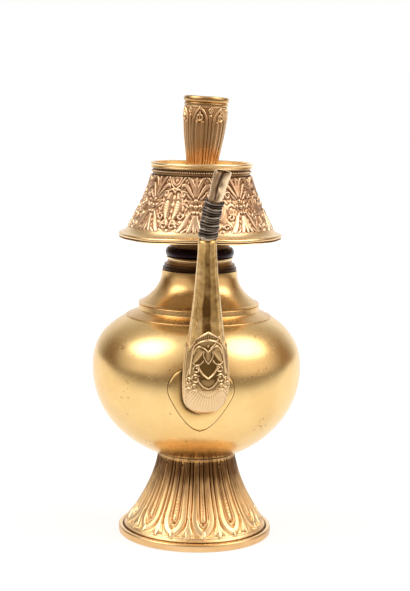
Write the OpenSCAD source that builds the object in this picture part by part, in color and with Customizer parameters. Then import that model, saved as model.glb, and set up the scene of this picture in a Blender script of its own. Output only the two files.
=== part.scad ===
// Ritual water vase of brass sheet and castings: a globe on a lotus foot, a spout mended with
// wound wire, and a skirted collar that lifts off the neck with a loose mouth tube standing in it.
// Millimetres. +Z is up, the spout points along -Y, the origin is the centre of the resting face.

/* [Foot] */
// Outer radius of the ring that the vase stands on
foot_ring_r = 37; // [34:0.5:42]
// Height of the foot ring
foot_ring_h = 4; // [3:0.25:6]
// Radial width of the foot ring
foot_ring_w = 5.5; // [5:0.25:8]
// Rounding of the ring's outer upper edge
foot_ring_round = 1.2; // [0.5:0.1:1.8]
// Width of the ring's ledge that shows outside the pedestal
foot_ledge = 2.6; // [1.5:0.1:3]
// Height of the flared pedestal
pedestal_h = 36; // [28:0.5:42]
// Outer radius of the pedestal under the globe
pedestal_top_r = 18.4; // [16:0.2:22]
// Sheet thickness of the pedestal
pedestal_wall = 1.6; // [1.2:0.1:2]
// How late the pedestal flares, as the power of its curve
pedestal_flare = 1.55; // [1.2:0.05:1.8]
// Number of lotus petals raised in the pedestal
petals = 13; // [9:1:17]
// Height of the petals' ribs over the hollows beside them
petal_relief = 1.1; // [0.6:0.1:1.3]
// Height of the plain band below the petals' tips
petal_start_h = 2.2; // [1:0.2:4]
// Height at which the petals reach their full width
petal_full_h = 9; // [7:0.5:14]

/* [Globe] */
// Radius of the globe at its belly
globe_r = 50; // [46:0.5:56]
// Height from the globe's seat to its belly
globe_lower_h = 41.5; // [38:0.5:48]
// Height from the belly to the globe's mouth
globe_upper_h = 24.7; // [22:0.1:28]
// Radius of the globe's mouth, where the shoulder plate is soldered on
globe_mouth_r = 34.8; // [33:0.2:38]
// How full the upper half is, 2 being an ellipse
globe_fullness = 2.35; // [2:0.05:2.6]
// Sheet thickness of the globe
globe_wall = 1.4; // [1:0.1:2]
// Height of the spigot that centres the globe in the pedestal
globe_spigot_h = 4; // [2:0.5:6]

/* [Shoulder] */
// Thickness that shows at the shoulder plate's outer edge
shoulder_edge_h = 0.5; // [0.3:0.1:0.8]
// Rise of the shoulder plate's sloping tread
shoulder_tread_rise = 3.1; // [2.5:0.1:4]
// Radius of the shoulder plate's upright step
shoulder_step_r = 28.8; // [27:0.2:30]
// Height of the shoulder plate's upright step
shoulder_step_h = 2.8; // [2:0.1:4]
// Sheet thickness of the shoulder plate
shoulder_wall = 1.4; // [1:0.1:1.8]

/* [Neck] */
// Height of the neck's sweeping cone
neck_h = 16.2; // [12:0.2:18]
// Outer radius at the top of the cone
neck_top_r = 18; // [17:0.2:19]
// Sheet thickness of the cone
neck_wall = 1.4; // [1:0.1:1.8]
// Height of the thin lip round the cone's base
neck_lip_h = 0.9; // [0.5:0.1:1.2]
// Outer radius of the square ring on the cone
neck_ring_r = 17.6; // [16.5:0.1:19]
// Height of the square ring
neck_ring_h = 3.2; // [2.8:0.1:5]
// Outer radius of the hollow above the square ring
neck_cove_r = 15.3; // [14.9:0.1:16]
// Height of the hollow
neck_cove_h = 3.1; // [2:0.1:4]
// Outer radius of the round bead
neck_bead_r = 16.4; // [15.6:0.1:18]
// Height of the round bead
neck_bead_h = 4.6; // [3.5:0.1:5.5]
// Outer radius of the straight throat
throat_r = 14; // [13.4:0.1:14.4]
// Sheet thickness of the throat
throat_wall = 1.3; // [1:0.1:1.6]
// Height of the throat above the cone
throat_h = 45.5; // [42:0.1:52]
// Length of the throat soldered inside the cone
throat_root_h = 5; // [3:0.5:8]

/* [Collar] */
// Outer radius of the skirt at its top edge
skirt_top_r = 23.6; // [22.5:0.1:26]
// Outer radius of the skirt at its lower edge
skirt_bottom_r = 34.2; // [32:0.2:37]
// Height of the ornamented skirt
skirt_h = 25; // [22:0.5:27]
// How late the skirt flares, as the power of its curve
skirt_flare = 1.3; // [1.1:0.05:1.6]
// Sheet thickness of the skirt
skirt_wall = 1.2; // [0.9:0.1:1.6]
// Outer radius of the skirt's lower rim
rim_r = 39; // [37.5:0.2:43]
// Height of the lower rim
rim_h = 5.2; // [4.5:0.1:6]
// Thickness of the lower rim's rolled edge
rim_edge_h = 2.2; // [1.6:0.1:2.6]
// Height of the pearled band above the skirt
pearl_band_h = 1.6; // [1.2:0.1:2.2]
// Height of the top rim
top_rim_h = 4; // [3.2:0.1:5]
// How far the top rim stands out past the skirt's top edge
top_rim_out = 0.7; // [0.3:0.1:1.2]
// Sheet thickness of the dish inside the top rim
dish_t = 1.2; // [0.9:0.1:1.6]
// Height of the dish's underside above the skirt's top edge
dish_above_skirt = 1; // [0.6:0.1:2]
// Length of the sleeve that slides over the throat
sleeve_depth = 18; // [12:0.5:22]
// Sheet thickness of the sleeve
sleeve_wall = 1.05; // [0.8:0.05:1.4]
// Thickness of the sleeve's top plate, which rests on the throat
sleeve_top_t = 1.2; // [0.9:0.1:1.6]
// Radius of the hole in the sleeve's top plate
sleeve_hole_r = 9.5; // [8.5:0.1:11]
// Height of the hub under the dish, which turns round the sleeve
hub_h = 8; // [5:0.5:12]
// Wall of the hub
hub_wall = 1.3; // [1:0.1:1.8]

/* [Mouth tube] */
// Outer radius of the tube where it stands on the dish
tube_base_r = 6.6; // [6.4:0.1:7.4]
// Outer radius of the tube under its lip
tube_top_r = 10.2; // [9.8:0.05:11.5]
// Height of the tube up to its lip
tube_h = 29.4; // [24:0.2:32]
// Wall of the tube at the lip
tube_wall = 1.3; // [1:0.1:1.6]
// Radius of the spigot that stands in the dish
tube_spigot_r = 5.8; // [5.5:0.1:6.2]
// Length of the spigot
tube_spigot_h = 6; // [4:0.5:8]
// Radius of the straight bore that takes a sprinkler's stem
tube_bore_r = 4.4; // [4:0.1:4.8]
// Length of the straight bore
tube_bore_h = 10; // [8:0.5:14]
// How far the tube leans towards +X in its loose seat, in degrees
tube_lean = 2.9; // [0:0.1:3.5]
// Outer radius of the lip
lip_r = 10.7; // [10.6:0.05:12]
// Height of the lip
lip_h = 4.4; // [4:0.1:7]

/* [Spout] */
// How far the spout leans forward from upright, in degrees
spout_lean = 14.4; // [10:0.2:18]
// How far the spout leans sideways towards +X, in degrees
spout_sway = -1.4; // [-3:0.1:3]
// Sideways place of the spout's root
spout_side = 1; // [-1.5:0.1:1.5]
// Distance from the belly to the centre of the spout's root
spout_out = 4.4; // [3.5:0.1:6]
// Drop of the spout's root below the belly
spout_drop = 4; // [3:0.2:6]
// Outer radius of the chased root
root_r = 10.4; // [9.8:0.1:11.4]
// Depth of the root's rounded underside
root_foot_h = 6.4; // [5:0.2:9]
// Length of the chased root above its centre
root_len = 27.4; // [24:0.2:31]
// Outer radius at the top of the root
root_top_r = 8.5; // [8.3:0.1:9.2]
// Wall of the root
root_wall = 1.2; // [0.9:0.1:1.5]
// Radius of the hole through the globe behind the root
spout_hole_r = 6; // [4:0.5:7]
// Outer radius of the plain tube where it leaves the root
spout_start_r = 8.2; // [7.9:0.1:8.3]
// Outer radius at the upper end of the plain tube
spout_end_r = 3.9; // [3.6:0.1:4.4]
// Length of the plain tube
spout_len = 44.2; // [40:0.2:52]
// How early the plain tube narrows, as the power of its curve
spout_taper = 1.4; // [1.2:0.1:1.7]
// Wall of the plain tube
spout_wall = 0.9; // [0.7:0.1:1]
// Length of the tube soldered inside the root
spout_insert = 4; // [2.5:0.5:6]
// Sideways bend of the mended tip towards +X, in degrees
tip_sway = 10.8; // [0:0.2:15]
// Outer radius of the mended tip
tip_r = 2.95; // [2.8:0.05:3.2]
// Wall of the mended tip
tip_wall = 0.65; // [0.5:0.05:0.8]
// Distance from the bend to the tip's mouth
tip_len = 34.6; // [28:0.2:40]
// Length of the tube's own end that goes on past the bend
tip_joint = 8; // [6:0.5:10]
// Length of the tip's spigot inside that end
tip_spigot_h = 3; // [2:0.5:4]

/* [Heart plate] */
// Sideways place of the heart plate
heart_side = -0.8; // [-2:0.1:2]
// Width of the heart plate across its lobes
heart_w = 30.4; // [28:0.2:36]
// How far the heart's point lies below the root's centre
heart_drop = 18.2; // [15:0.2:21]
// How far the centres of the lobes lie above the root's centre
heart_lobe_rise = 2.4; // [1:0.2:6]
// Radius of the lobes
heart_lobe_r = 10; // [9:0.2:11]
// Sheet thickness of the heart plate
heart_t = 0.9; // [0.6:0.1:1.4]

/* [Binding wire] */
// Diameter of the wire
wire_d = 1.1; // [0.8:0.05:1.3]
// Distance from turn to turn
wire_pitch = 1.55; // [1.5:0.05:2]
// Turns of the winding
wire_turns = 11; // [6:1:14]
// Distance from the bend to the first turn
wire_start = 4.1; // [3.9:0.1:5]

/* [Fits] */
// Film left for solder between curved or nested faces
solder_gap = 0.1; // [0.05:0.05:0.2]
// Radial clearance of the sleeve on the throat
slide_clearance = 0.15; // [0.1:0.05:0.3]
// Radial clearance of the hub on the sleeve
hub_clearance = 0.08; // [0.05:0.01:0.1]
// Radial clearance of the loose tube's spigot in the dish
loose_clearance = 0.8; // [0.6:0.05:1]
// Air under the low edge of the leaning tube
seat_air = 0.1; // [0.05:0.05:0.2]

/* [Hidden] */
$fn = 96;

gold = [0.80, 0.60, 0.30];
chased_gold = [0.74, 0.52, 0.27];
worn_gold = [0.62, 0.46, 0.26];
iron_grey = [0.36, 0.34, 0.32];

curve_steps = 18;
arc_steps = 12;

// Heights of the seats, from the ground up
pedestal_z = foot_ring_h;
globe_z = pedestal_z + pedestal_h;
belly_z = globe_z + globe_lower_h;
mouth_z = belly_z + globe_upper_h;
tread_z = mouth_z + shoulder_tread_rise;
neck_z = tread_z + shoulder_step_h;
neck_top_z = neck_z + neck_h;
cove_z = neck_top_z + neck_ring_h;
bead_z = cove_z + neck_cove_h;
throat_top_z = neck_top_z + throat_h;
dish_z = throat_top_z + sleeve_top_t;
skirt_top_z = dish_z - dish_above_skirt;
skirt_z = skirt_top_z - skirt_h;
top_rim_z = skirt_top_z + pearl_band_h;
dish_top_z = dish_z + dish_t;

// Radii that follow from the piece they fit
pedestal_base_r = foot_ring_r - foot_ledge;
throat_bore_r = throat_r + solder_gap;
sleeve_bore_r = throat_r + slide_clearance;
sleeve_r = sleeve_bore_r + sleeve_wall;
hub_bore_r = sleeve_r + hub_clearance;
collar_bore_r = skirt_top_r - skirt_wall;
dish_r = collar_bore_r - solder_gap;
dish_hole_r = tube_spigot_r + loose_clearance;

// Half-axes of the globe's two halves, so that its outline meets its seat and its mouth
lower_axis = globe_lower_h / sqrt(1 - pow(pedestal_top_r / globe_r, 2));
upper_axis = globe_upper_h / pow(1 - pow(globe_mouth_r / globe_r, globe_fullness), 1 / globe_fullness);

// Points that a fair curve runs through, from a start to an end and bowed by a power
function swept(r0, z0, r1, z1, power, steps = curve_steps) =
    [for (i = [0:steps]) let (t = i / steps) [r1 + (r0 - r1) * pow(1 - t, power), z0 + (z1 - z0) * t]];

function reversed(points) = [for (i = [len(points) - 1:-1:0]) points[i]];

function shifted(points, dr) = [for (p = points) [p[0] + dr, p[1]]];

// Outline of the globe, grown by a given amount, from the seat up to the mouth
function globe_lower(grow) =
    let (first = asin((globe_lower_h) / (lower_axis + grow)))
    [for (i = [0:curve_steps]) let (a = first * (1 - i / curve_steps))
        [(globe_r + grow) * cos(a), belly_z - (lower_axis + grow) * sin(a)]];

function globe_upper(grow) =
    let (power = 2 / globe_fullness,
        last = asin(pow(globe_upper_h / (upper_axis + grow), 1 / power)))
    [for (i = [1:curve_steps]) let (a = last * i / curve_steps)
        [(globe_r + grow) * pow(cos(a), power), belly_z + (upper_axis + grow) * pow(sin(a), power)]];

function globe_outline(grow) = concat(globe_lower(grow), globe_upper(grow));

// Half outline of a round bead that bulges from one radius to another over a height
function bulge(r0, r1, z0, h) =
    [for (i = [0:arc_steps]) let (a = 180 * i / arc_steps)
        [r0 + (r1 - r0) * sin(a), z0 + h / 2 * (1 - cos(a))]];

module turned(points) {
    rotate_extrude() polygon(points);
}

// Foot

module foot_ring() {
    inner = foot_ring_r - foot_ring_w;
    corner = [foot_ring_r - foot_ring_round, foot_ring_h - foot_ring_round];
    color(gold) turned(concat(
        [[inner, 0], [foot_ring_r, 0]],
        [for (i = [0:arc_steps]) let (a = 90 * i / arc_steps)
            corner + foot_ring_round * [cos(a), sin(a)]],
        [[inner, foot_ring_h]]));
}

// Pedestal, a flared sheet with petals raised in it. A petal has a rib down its middle and a rib round
// its edge, a leaf stands between two petals, and the hollows beside them are sunk a little.

petal_turn = 4.8;
petal_edge = 0.6;
petal_sunk = 0.7;
plain_level = 0.5;
outer_rows = 13;
inner_rows = 5;
row_bunching = 1.6;
half_marks = 5;
row_points = 2 * half_marks * petals;

function ramp(low, high, x) = min(1, max(0, (x - low) / (high - low)));

// Crests and hollows from a petal's middle to its neighbour's border: [share of the half width, height]
function petal_marks(h) =
    let (edge = petal_edge * (0.15 + 0.85 * sqrt(ramp(petal_start_h, petal_full_h, h))),
        tip_h = petal_start_h + 2 * petal_relief,
        inside = 1 - ramp(petal_start_h, tip_h, h),
        rib = max(inside, ramp(tip_h, petal_full_h - petal_start_h, h)))
    [[0, rib], [0.42 * edge, inside], [0.63 * edge, inside], [edge, 1], [(edge + 1) / 2, 0], [1, 0.7]];

// How far a mark stands out, level in the plain band and lower again under the globe
function petal_lift(height, h) =
    let (under_globe = ramp(pedestal_h - 2 * petal_relief, pedestal_h, h),
        level = h < petal_start_h ? plain_level : height * (1 - 0.65 * under_globe))
    petal_relief * level - petal_sunk;

// One row of points round the pedestal at a share of its height, raised or set in by the sheet
function pedestal_row(t, raised) =
    let (h = pedestal_h * t,
        marks = petal_marks(h),
        r = pedestal_top_r + (pedestal_base_r - pedestal_top_r) * pow(1 - t, pedestal_flare))
    [for (k = [0:petals - 1], j = [1 - half_marks:half_marks])
        let (mark = marks[abs(j)],
            a = petal_turn + 360 / petals * (k + sign(j) * mark[0] / 2),
            reach = r + (raised ? petal_lift(mark[1], h) : -pedestal_wall))
        [reach * sin(a), -reach * cos(a), pedestal_z + h]];

module foot_pedestal() {
    rows = concat(
        [for (i = [0:outer_rows]) pedestal_row(pow(i / outer_rows, row_bunching), true)],
        [for (i = [inner_rows:-1:0]) pedestal_row(i / inner_rows, false)]);
    count = len(rows);
    faces = [for (i = [0:count - 1], j = [0:row_points - 1])
        let (a = i * row_points + j,
            b = i * row_points + (j + 1) % row_points,
            c = (i + 1) % count * row_points + (j + 1) % row_points,
            d = (i + 1) % count * row_points + j)
        each [[a, d, c], [a, c, b]]];
    color(chased_gold) polyhedron([for (row = rows) each row], faces);
}

// Globe and shoulder

module globe_solid(grow) {
    turned(concat([[0, globe_z]], globe_outline(grow), [[0, mouth_z]]));
}

module spout_hole() {
    translate([spout_side, 0, belly_z - spout_drop]) rotate([90, 0, 0])
        cylinder(r = spout_hole_r, h = globe_r + spout_out);
}

module body_globe() {
    spigot_r = pedestal_top_r - pedestal_wall - solder_gap;
    inside = globe_outline(-globe_wall);
    floor_r = inside[0][0] - globe_wall;
    color(gold) difference() {
        turned(concat(
            [[spigot_r, globe_z]], globe_outline(0), reversed(inside),
            [[floor_r, globe_z + globe_wall], [0, globe_z + globe_wall], [0, globe_z],
             [spigot_r - globe_wall, globe_z], [spigot_r - globe_wall, globe_z - globe_spigot_h],
             [spigot_r, globe_z - globe_spigot_h]]));
        spout_hole();
    }
}

module shoulder_plate() {
    color(gold) turned([
        [globe_mouth_r, mouth_z], [globe_mouth_r, mouth_z + shoulder_edge_h],
        [shoulder_step_r, tread_z], [shoulder_step_r, neck_z],
        [shoulder_step_r - shoulder_wall, neck_z], [shoulder_step_r - shoulder_wall, tread_z - shoulder_wall],
        [globe_mouth_r - 2 * shoulder_wall, mouth_z]]);
}

// Neck

module neck_cone() {
    sweep_power = 2;
    outer = swept(shoulder_step_r - neck_lip_h, neck_z + neck_lip_h, neck_top_r, neck_top_z, sweep_power);
    ceiling_z = neck_top_z - neck_wall;
    inner = [for (p = outer) if (p[1] < ceiling_z) [p[0] - neck_wall, p[1]]];
    color(gold) turned(concat(
        [[shoulder_step_r - shoulder_wall, neck_z], [shoulder_step_r, neck_z],
         [shoulder_step_r, neck_z + neck_lip_h]],
        outer,
        [[throat_bore_r, neck_top_z], [throat_bore_r, ceiling_z], [neck_top_r - neck_wall, ceiling_z]],
        reversed(inner)));
}

module neck_ring() {
    // a square ring with a shallow step turned round its upper edge
    step = (neck_ring_r - neck_cove_r) / 3;
    color(gold) turned([
        [throat_bore_r, neck_top_z], [neck_ring_r, neck_top_z],
        [neck_ring_r, cove_z - 2 * step], [neck_ring_r - step, cove_z - 2 * step],
        [neck_ring_r - step, cove_z], [throat_bore_r, cove_z]]);
}

module neck_cove() {
    color(gold) turned([
        [throat_bore_r, cove_z], [neck_cove_r, cove_z], [neck_cove_r, bead_z], [throat_bore_r, bead_z]]);
}

module neck_bead() {
    color(gold) turned(concat(
        [[throat_bore_r, bead_z]],
        bulge(neck_cove_r - solder_gap, neck_bead_r, bead_z, neck_bead_h),
        [[throat_bore_r, bead_z + neck_bead_h]]));
}

module neck_throat() {
    color(gold) turned([
        [throat_r - throat_wall, neck_top_z - throat_root_h], [throat_r, neck_top_z - throat_root_h],
        [throat_r, throat_top_z], [throat_r - throat_wall, throat_top_z]]);
}

// Spout. Its root and plain tube turn about one leaning axis that starts at the root's centre.

root_at = [spout_side, -(globe_r + spout_out), belly_z - spout_drop];
bend_s = root_len + spout_len;

module on_spout_axis() {
    translate(root_at) rotate([spout_lean, spout_sway, 0]) children();
}

// The mended tip's axis starts at the bend and sways sideways from the spout's own axis
module on_tip_axis() {
    on_spout_axis() translate([0, 0, bend_s]) rotate([0, tip_sway, 0]) children();
}

function root_outline(inset) =
    let (r = root_r - inset, top_r = root_top_r - inset, foot_h = root_foot_h - inset)
    concat(
        [for (i = [0:arc_steps]) let (a = 90 * (i / arc_steps - 1)) [r * cos(a), foot_h * sin(a)]],
        [for (i = [1:arc_steps]) let (t = i / arc_steps) [r - (r - top_r) * t * t, root_len * t]]);

module spout_root() {
    color(chased_gold) difference() {
        on_spout_axis() difference() {
            turned(concat(root_outline(0), [[0, root_len]]));
            turned(concat(root_outline(root_wall), [[0, root_len]]));
        }
        globe_solid(2 * solder_gap + heart_t);
    }
}

// The tube's domed end, turned about the bend
function dome(r) =
    [for (i = [1:arc_steps]) let (a = 90 * i / arc_steps) [r * cos(a), bend_s + r * sin(a)]];

module spout_tube() {
    insert_r = root_top_r - root_wall - solder_gap;
    inner_r = insert_r - spout_wall;
    lower_s = root_len - spout_insert;
    outer = swept(spout_start_r, root_len, spout_end_r, bend_s, spout_taper);
    color(worn_gold) difference() {
        union() {
            on_spout_axis() turned(concat(
                [[0, lower_s], [insert_r, lower_s], [insert_r, root_len]], outer, dome(spout_end_r)));
            on_tip_axis() cylinder(r = tip_r, h = tip_joint);
        }
        on_spout_axis() turned(concat(
            [[0, lower_s], [inner_r, lower_s]],
            [for (p = outer) [min(inner_r, p[0] - spout_wall), p[1]]],
            dome(spout_end_r - spout_wall)));
        on_tip_axis() cylinder(r = tip_r - tip_wall, h = tip_joint);
    }
}

module spout_tip() {
    bore = tip_r - tip_wall;
    spigot = bore - solder_gap;
    spigot_s = tip_joint - tip_spigot_h;
    color(worn_gold) on_tip_axis() turned([
        [spigot - tip_wall, spigot_s], [spigot, spigot_s], [spigot, tip_joint], [tip_r, tip_joint],
        [tip_r, tip_len], [bore, tip_len], [bore, tip_joint + tip_wall],
        [spigot - tip_wall, tip_joint + tip_wall]]);
}

// Heart plate, cut from sheet and dressed to the globe's curve

heart_side_bow = 0.6;
heart_join = -22;
heart_lobe_x = heart_w / 2 - heart_lobe_r;
heart_cleft = 180 - acos(heart_lobe_x / heart_lobe_r);

function heart_lobe(a) = [heart_lobe_x + heart_lobe_r * cos(a), heart_lobe_rise + heart_lobe_r * sin(a)];

function heart_half() =
    let (meet = heart_lobe(heart_join))
    concat(
        [for (i = [1:arc_steps - 1]) let (t = i / arc_steps)
            [meet[0] * pow(t, heart_side_bow), -heart_drop + (meet[1] + heart_drop) * t]],
        [for (i = [0:arc_steps - 1]) heart_lobe(heart_join + (heart_cleft - heart_join) * i / arc_steps)]);

module heart_outline() {
    half = heart_half();
    polygon(concat(
        [[0, -heart_drop]], half, [[0, heart_lobe(heart_cleft)[1]]],
        [for (i = [len(half) - 1:-1:0]) [-half[i][0], half[i][1]]]));
}

module heart_plate() {
    color(gold) difference() {
        intersection() {
            translate([heart_side, 0, root_at[2]]) rotate([90, 0, 0])
                linear_extrude(globe_r + spout_out) heart_outline();
            globe_solid(solder_gap + heart_t);
        }
        globe_solid(solder_gap);
        spout_hole();
    }
}

// Binding wire, one unbroken helix round the tube's end and the tip, with a straight run at each end

wire_sides = 6;
rings_per_turn = 24;
wire_rings = wire_turns * rings_per_turn;
winding_r = tip_r + solder_gap + wire_d / 2;

function helix(i) =
    let (a = 360 * i / rings_per_turn)
    [winding_r * cos(a), winding_r * sin(a), wire_start + wire_pitch * i / rings_per_turn];

function along_helix(i) =
    let (a = 360 * i / rings_per_turn,
        run = [-2 * PI * winding_r * sin(a), 2 * PI * winding_r * cos(a), wire_pitch])
    run / norm(run);

wire_route = concat(
    [helix(0) - wire_d * along_helix(0)],
    [for (i = [0:wire_rings]) helix(i)],
    [helix(wire_rings) + wire_d * along_helix(wire_rings)]);

// Least distance between parts of the wire that lie more than half a turn apart, less the wire itself
wire_gap = min([for (i = [0:len(wire_route) - 1], j = [i + rings_per_turn / 2:len(wire_route) - 1])
    norm(wire_route[i] - wire_route[j])]) - wire_d;
echo(binding_wire_least_gap = wire_gap);

function wire_ring(i) =
    let (last = len(wire_route) - 1,
        a = 360 * min(max(i - 1, 0), wire_rings) / rings_per_turn,
        out = [cos(a), sin(a), 0])
    [for (k = [0:wire_sides - 1]) let (b = 360 * k / wire_sides)
        wire_route[i] + wire_d / 2 * (cos(b) * out + sin(b) * [0, 0, 1])];

module binding_wire() {
    count = len(wire_route);
    points = [for (i = [0:count - 1]) each wire_ring(i)];
    sides = [for (i = [0:count - 2], k = [0:wire_sides - 1])
        let (a = i * wire_sides + k, b = i * wire_sides + (k + 1) % wire_sides)
        each [[a, a + wire_sides, b], [b, a + wire_sides, b + wire_sides]]];
    start_cap = [for (k = [1:wire_sides - 2]) [0, k, k + 1]];
    end_cap = [for (k = [1:wire_sides - 2]) let (e = (count - 1) * wire_sides) [e, e + k + 1, e + k]];
    color(iron_grey) on_tip_axis() polyhedron(points, concat(start_cap, sides, end_cap));
}

// Collar. The sleeve caps the throat, the hub turns round the sleeve, and the rest is soldered to the hub.

module collar_sleeve() {
    color(gold) turned([
        [sleeve_bore_r, throat_top_z - sleeve_depth], [sleeve_r, throat_top_z - sleeve_depth],
        [sleeve_r, dish_z], [sleeve_hole_r, dish_z],
        [sleeve_hole_r, throat_top_z], [sleeve_bore_r, throat_top_z]]);
}

module collar_hub() {
    color(gold) turned([
        [hub_bore_r, dish_z - hub_h], [hub_bore_r + hub_wall, dish_z - hub_h],
        [hub_bore_r + hub_wall, dish_z], [hub_bore_r, dish_z]]);
}

module collar_dish() {
    color(gold) turned([
        [dish_hole_r, dish_z], [dish_r, dish_z], [dish_r, dish_top_z], [dish_hole_r, dish_top_z]]);
}

module collar_skirt() {
    outer = swept(skirt_bottom_r, skirt_z, skirt_top_r, skirt_top_z, skirt_flare);
    color(chased_gold) turned(concat(outer, reversed(shifted(outer, -skirt_wall))));
}

module collar_lower_rim() {
    // a sheet flange that sweeps out from the skirt to a rolled edge
    roll = rim_edge_h / 2;
    low = skirt_z - rim_h;
    roll_at = [rim_r - roll, low + roll];
    sweep_power = 1.6;
    top = swept(roll_at[0], low + rim_edge_h, skirt_bottom_r, skirt_z, sweep_power);
    color(gold) turned(concat(
        [for (i = [0:arc_steps]) let (a = 180 * i / arc_steps - 90) roll_at + roll * [cos(a), sin(a)]],
        top,
        [[skirt_bottom_r - skirt_wall, skirt_z], [roll_at[0] - rim_edge_h, low]]));
}

module collar_pearl_band() {
    color(gold) turned(concat(
        [[collar_bore_r, skirt_top_z]],
        bulge(skirt_top_r, skirt_top_r + top_rim_out / 2, skirt_top_z, pearl_band_h),
        [[collar_bore_r, top_rim_z]]));
}

module collar_top_rim() {
    // a flat band below, a round roll above
    band_h = top_rim_h / 2;
    color(gold) turned(concat(
        [[collar_bore_r, top_rim_z], [skirt_top_r + top_rim_out / 2, top_rim_z],
         [skirt_top_r + top_rim_out / 2, top_rim_z + band_h]],
        bulge(skirt_top_r, skirt_top_r + top_rim_out, top_rim_z + band_h, top_rim_h - band_h),
        [[collar_bore_r, top_rim_z + top_rim_h]]));
}

// Mouth tube, standing loose in the dish and leaning to one side of its seat

module on_tube_axis() {
    translate([0, 0, dish_top_z + tube_base_r * sin(tube_lean) + seat_air])
        rotate([0, tube_lean, 0]) children();
}

module mouth_tube() {
    bore_top = tube_bore_h - tube_spigot_h;
    color(chased_gold) on_tube_axis() turned(concat(
        [[tube_bore_r, -tube_spigot_h], [tube_spigot_r, -tube_spigot_h], [tube_spigot_r, 0]],
        [for (i = [0:curve_steps]) let (t = i / curve_steps)
            [tube_base_r + (tube_top_r - tube_base_r) * sin(90 * t), tube_h * t]],
        [[tube_top_r - tube_wall, tube_h], [tube_bore_r, bore_top]]));
}

module mouth_lip() {
    // a narrow band below, a round roll above
    band_h = lip_h * 0.4;
    inner = tube_top_r - tube_wall;
    color(gold) on_tube_axis() turned(concat(
        [[inner, tube_h], [tube_top_r, tube_h], [tube_top_r, tube_h + band_h]],
        bulge(tube_top_r - solder_gap, lip_r, tube_h + band_h, lip_h - band_h),
        [[inner, tube_h + lip_h]]));
}

foot_ring();
foot_pedestal();
body_globe();
shoulder_plate();
neck_cone();
neck_ring();
neck_cove();
neck_bead();
neck_throat();
heart_plate();
spout_root();
spout_tube();
spout_tip();
binding_wire();
collar_sleeve();
collar_hub();
collar_dish();
collar_skirt();
collar_lower_rim();
collar_pearl_band();
collar_top_rim();
mouth_tube();
mouth_lip();
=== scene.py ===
"""A ritual water vase of chased brass: the camera, the light, and each piece of the vase as it looks."""

import math
from types import SimpleNamespace

import bmesh
import bpy
import numpy as np
from mathutils import Matrix, Vector, noise


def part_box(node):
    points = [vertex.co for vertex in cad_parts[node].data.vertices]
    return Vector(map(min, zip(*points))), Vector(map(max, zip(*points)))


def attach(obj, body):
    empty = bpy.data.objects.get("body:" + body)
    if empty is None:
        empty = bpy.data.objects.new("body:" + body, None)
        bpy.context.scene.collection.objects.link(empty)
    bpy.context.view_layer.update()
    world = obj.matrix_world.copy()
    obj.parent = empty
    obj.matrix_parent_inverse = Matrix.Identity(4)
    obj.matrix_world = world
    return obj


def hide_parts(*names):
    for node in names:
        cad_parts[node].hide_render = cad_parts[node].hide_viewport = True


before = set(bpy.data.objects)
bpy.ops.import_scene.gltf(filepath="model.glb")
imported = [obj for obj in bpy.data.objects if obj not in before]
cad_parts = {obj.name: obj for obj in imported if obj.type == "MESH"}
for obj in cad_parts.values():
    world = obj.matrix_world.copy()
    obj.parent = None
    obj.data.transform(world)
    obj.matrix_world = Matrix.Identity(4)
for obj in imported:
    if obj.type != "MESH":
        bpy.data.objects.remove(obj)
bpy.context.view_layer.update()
scene = bpy.context.scene
scene.view_settings.view_transform = "Standard"


# Camera
# It stands before the spout, a little to the left and above the collar, as for a still life on a table.
# It rolls a little, so the vase leans as it does in the picture.
eye_distance = 0.6868
eye_height = 0.2115
eye_side = math.radians(-3.04)
eye_turn = math.radians(-3.28)
eye_tilt = math.radians(82.07)
eye_roll = math.radians(1.19)
camera_data = bpy.data.cameras.new("camera")
camera_data.lens = 88.1
camera_data.sensor_width = 36.0
camera = bpy.data.objects.new("camera", camera_data)
camera.matrix_world = (
    Matrix.Translation((eye_distance * math.sin(eye_side), -eye_distance * math.cos(eye_side), eye_height))
    @ Matrix.Rotation(eye_turn, 4, "Z")
    @ Matrix.Rotation(eye_tilt, 4, "X")
    @ Matrix.Rotation(eye_roll, 4, "Z")
)
scene.collection.objects.link(camera)
scene.camera = camera


# Room and floor
# A white sheet runs under and behind the vase, and ends a short way in front of it.
# A bright soft box hangs high on each side, with a wide faint one under it, and the room before is dim.
def node(tree, kind, settings=None, inputs=None):
    """A shader node with its properties and its inputs, which are values or sockets to link."""
    made = tree.nodes.new("ShaderNode" + kind)
    for key, value in (settings or {}).items():
        setattr(made, key, value)
    for key, value in (inputs or {}).items():
        if isinstance(value, bpy.types.NodeSocket):
            tree.links.new(value, made.inputs[key])
        else:
            made.inputs[key].default_value = value
    return made


def ramp(tree, factor, *stops):
    """The colour output of a ramp through (place, colour) stops."""
    made = node(tree, "ValToRGB", None, {"Fac": factor})
    band = made.color_ramp
    band.elements[0].position, band.elements[0].color = stops[0][0], (*stops[0][1], 1)
    band.elements[1].position, band.elements[1].color = stops[-1][0], (*stops[-1][1], 1)
    for place, colour in stops[1:-1]:
        band.elements.new(place).color = (*colour, 1)
    return made.outputs["Color"]


def span(tree, value, low, high, start=0.0, end=1.0, smooth=False):
    """The value's run from low to high, drawn out from start to end, and held there beyond."""
    shape = {"interpolation_type": "SMOOTHSTEP" if smooth else "LINEAR"}
    limits = {"From Min": low, "From Max": high, "To Min": start, "To Max": end}
    return node(tree, "MapRange", shape, {"Value": value, **limits}).outputs["Result"]


def sum_of(tree, operation, one, two, three=0.0):
    """The result of a Math node."""
    return node(tree, "Math", {"operation": operation}, {0: one, 1: two, 2: three}).outputs[0]


def blend_of(tree, factor, one, two, way="MIX"):
    """The colour between two colours."""
    colours = [(*side, 1) if isinstance(side, tuple) else side for side in (one, two)]
    settings = {"data_type": "RGBA", "blend_type": way}
    return node(tree, "Mix", settings, {"Factor": factor, 6: colours[0], 7: colours[1]}).outputs[2]


def grey(level):
    """A grey as a colour."""
    return (level, level, level)


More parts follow.
